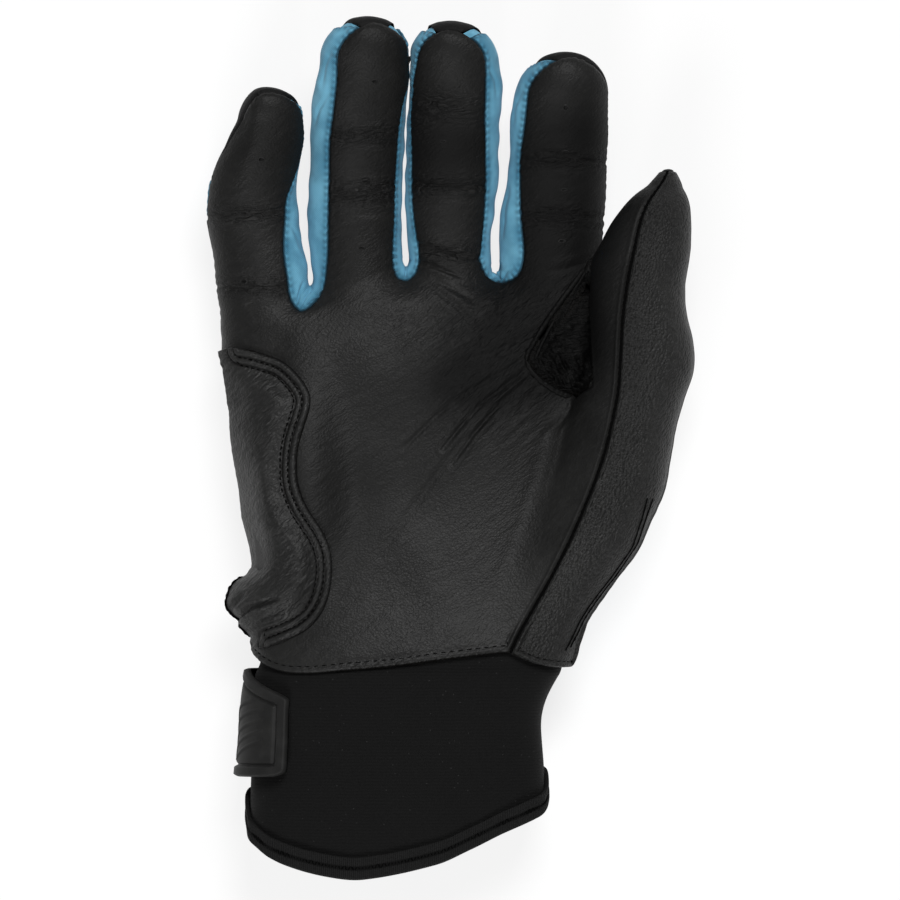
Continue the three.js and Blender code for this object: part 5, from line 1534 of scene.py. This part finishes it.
# Sewing: the piece, the row's distance from its edge, the edge, stitch pitch, thread length and thickness
seams = {
    "heel_row_outer": ("heel_patch", HEEL_ROWS[0], curved_edge, 1.7, 1.15, 0.5),
    "heel_row_inner": ("heel_patch", HEEL_ROWS[1], curved_edge, 1.7, 1.15, 0.5),
    "hem_row": ("palm_leather", HEM_SEAM, hem_edge, 2.4, 1.5, 0.4),
    "thumb_hem_row": ("thumb_outer", HEM_SEAM, hem_edge, 2.4, 1.5, 0.4),
}
for name, (node, distance, keep, pitch, length, thick) in seams.items():
    fit(capsules(name, *sewn_line(node, distance, keep, pitch), length, thick), black_thread)

# Thumb seam: a sunk cord between the two leathers with a knot at each stitch
line = beside("thumb_outer", "palm_leather", 1.3)
fit(tube("thumb_seam", line, 0.36, seed=70), black_thread)
places = at_runs(line, np.arange(1, run_along(line)[-1], 2.0))
ways = unit(np.gradient(places, axis=0))
outs = squared(outward(places)[0], ways)
fit(capsules("thumb_seam_knots", places + outs * 0.15, ways, outs, 0.9, 0.95), black_thread)

# Bound edges down the thumb's outer side, as routes in the picture
SIDE_CORDS = (
    ((648, 500), (643, 520), (633, 550), (612, 580), (600, 595), (589, 610), (580, 625), (573, 640),
     (566, 653)),
    ((654, 500), (648, 517), (638, 547), (617, 578), (605, 593), (594, 608), (585, 622), (578, 637),
     (571, 650)))
for k, route in enumerate(SIDE_CORDS):
    line = laid(("thumb_outer", "thumb_back"), route, -0.05)
    fit(tube("thumb_side_cord_%d" % (k + 1), line, 0.3, seed=k + 80), black_thread)

# Corded edges along the gusset: route in the picture, radius and lift in millimetres
GUSSET_CORDS = (
    (((591, 262), (580, 279), (566, 298), (550, 320), (537, 341), (528, 357), (527, 364)), 0.75, 0.25),
    (((590, 268), (578, 290), (562, 312), (550, 332), (541, 350), (536, 362)), 0.55, 0.25),
    (((527, 363), (532, 374), (542, 384), (554, 392), (566, 398), (575, 399)), 0.8, 0.1))
for k, (route, radius, lift) in enumerate(GUSSET_CORDS):
    line = laid(("palm_leather", "thumb_gusset"), route, lift)
    fit(tube("gusset_cord_%d" % (k + 1), line, radius, seed=k + 50), gusset_hide)

# Corded edge round the rolled corner of the heel patch, between two rows of the picture
CORNER_TOP, CORNER_FOOT = 578, 640
patch_rim = max(rims["heel_patch"], key=len)
rows_down = picture_row(patch_rim[:, 1])
outer = ~curved_edge(patch_rim) & (rows_down > CORNER_TOP) & (rows_down < CORNER_FOOT)
start = int(np.flatnonzero(outer & ~np.roll(outer, 1))[0])
line = np.roll(patch_rim, -start, axis=0)[:int(outer.sum())]
fit(tube("heel_corner_rim", line, 0.55, uneven=0.2, seed=60), black_thread)

# Sewn line of the tape on the cuff's edge
turns = np.linspace(SLIT_TURN - 179, 179 - SLIT_TURN, 281)
base, out = wrist(turns, cuff_edge(turns) + np.where(np.arange(len(turns)) % 2, *TAPE_STITCHES))
line = base + out * 0.85
middles, spans = (line[:-1] + line[1:]) / 2, np.diff(line, axis=0)
length = np.linalg.norm(spans, axis=1).mean()
outs = (out[:-1] + out[1:]) / 2
fit(capsules("tape_zigzag", middles, unit(spans), outs, length * 0.95, 0.34), black_thread)

# Punched holes: place in the picture, length and width in millimetres
VENTS = [(263, 163, 1.5, 1.1), (245, 216, 1.6, 0.8), (245, 284, 1.6, 1.0), (376, 86, 1.3, 1.0),
         (367, 184, 1.5, 0.7), (363, 251, 1.5, 0.9), (444, 145, 1.3, 0.7), (566, 112, 1.2, 1.4),
         (566, 155, 1.4, 0.6), (565, 193, 1.4, 0.7), (563, 244, 1.6, 0.8)]
fit(vent("vent_holes", VENTS, "palm_leather"), hole_lip)

# Floor, light and camera, in metres
scene = bpy.context.scene
scene.view_settings.view_transform = "Standard"
bpy.ops.object.select_all(action="DESELECT")
bpy.ops.mesh.primitive_plane_add(size=6, location=(0, 0, -0.0002))
floor = bpy.context.object
floor.name = "floor"
paint = Paint("floor")
lit = paint.node("ShaderNodeBsdfDiffuse", None, {"Color": (0.9, 0.9, 0.9, 1)})
glow = paint.node("ShaderNodeEmission", None, {"Color": (1, 1, 1, 1), "Strength": 1.0})
# The camera sees the floor mostly as white, and still sees the glove's shadow on it
seen = paint.node("ShaderNodeLightPath", out="Is Camera Ray")
both = paint.node("ShaderNodeMixShader", None, {0: seen * 0.8, 1: lit, 2: glow})
paint.tree.links.new(both.socket, paint.tree.nodes["Material Output"].inputs["Surface"])
floor.data.materials.append(paint.material)

world = bpy.data.worlds.new("studio")
scene.world = world
world.use_nodes = True
world.node_tree.nodes["Background"].inputs["Color"].default_value = (1, 1, 1, 1)
world.node_tree.nodes["Background"].inputs["Strength"].default_value = 0.16


LAMP_SIZE = 0.55
LAMP_AIM = (0, 0, 0.02)


def lamp(name, place, power):
    """A square lamp aimed at the glove"""
    data = bpy.data.lights.new(name, "AREA")
    data.shape, data.size, data.energy = "SQUARE", LAMP_SIZE, power
    made = bpy.data.objects.new(name, data)
    scene.collection.objects.link(made)
    made.location = place
    made.rotation_euler = (Vector(LAMP_AIM) - Vector(place)).to_track_quat("-Z", "Y").to_euler()


lamp("key", (0.2, 0.75, 1.35), 19)
lamp("side", (-0.25, -1.1, 1.0), 13)

camera = bpy.data.objects.new("camera", bpy.data.cameras.new("camera"))
scene.collection.objects.link(camera)
scene.camera = camera
DISTANCE = 2.4
PICTURE_LEVEL = 0.025  # height at which the picture's scale holds
PICTURE_CENTRE = (0.00035, 0.00006)
SENSOR = 36
camera.data.sensor_width = SENSOR
camera.data.lens = SENSOR * DISTANCE / (PICTURE * PIXEL / 1000)
camera.location = (*PICTURE_CENTRE, PICTURE_LEVEL + DISTANCE)
camera.rotation_euler = (0, 0, 0)
camera.data.clip_end = 20
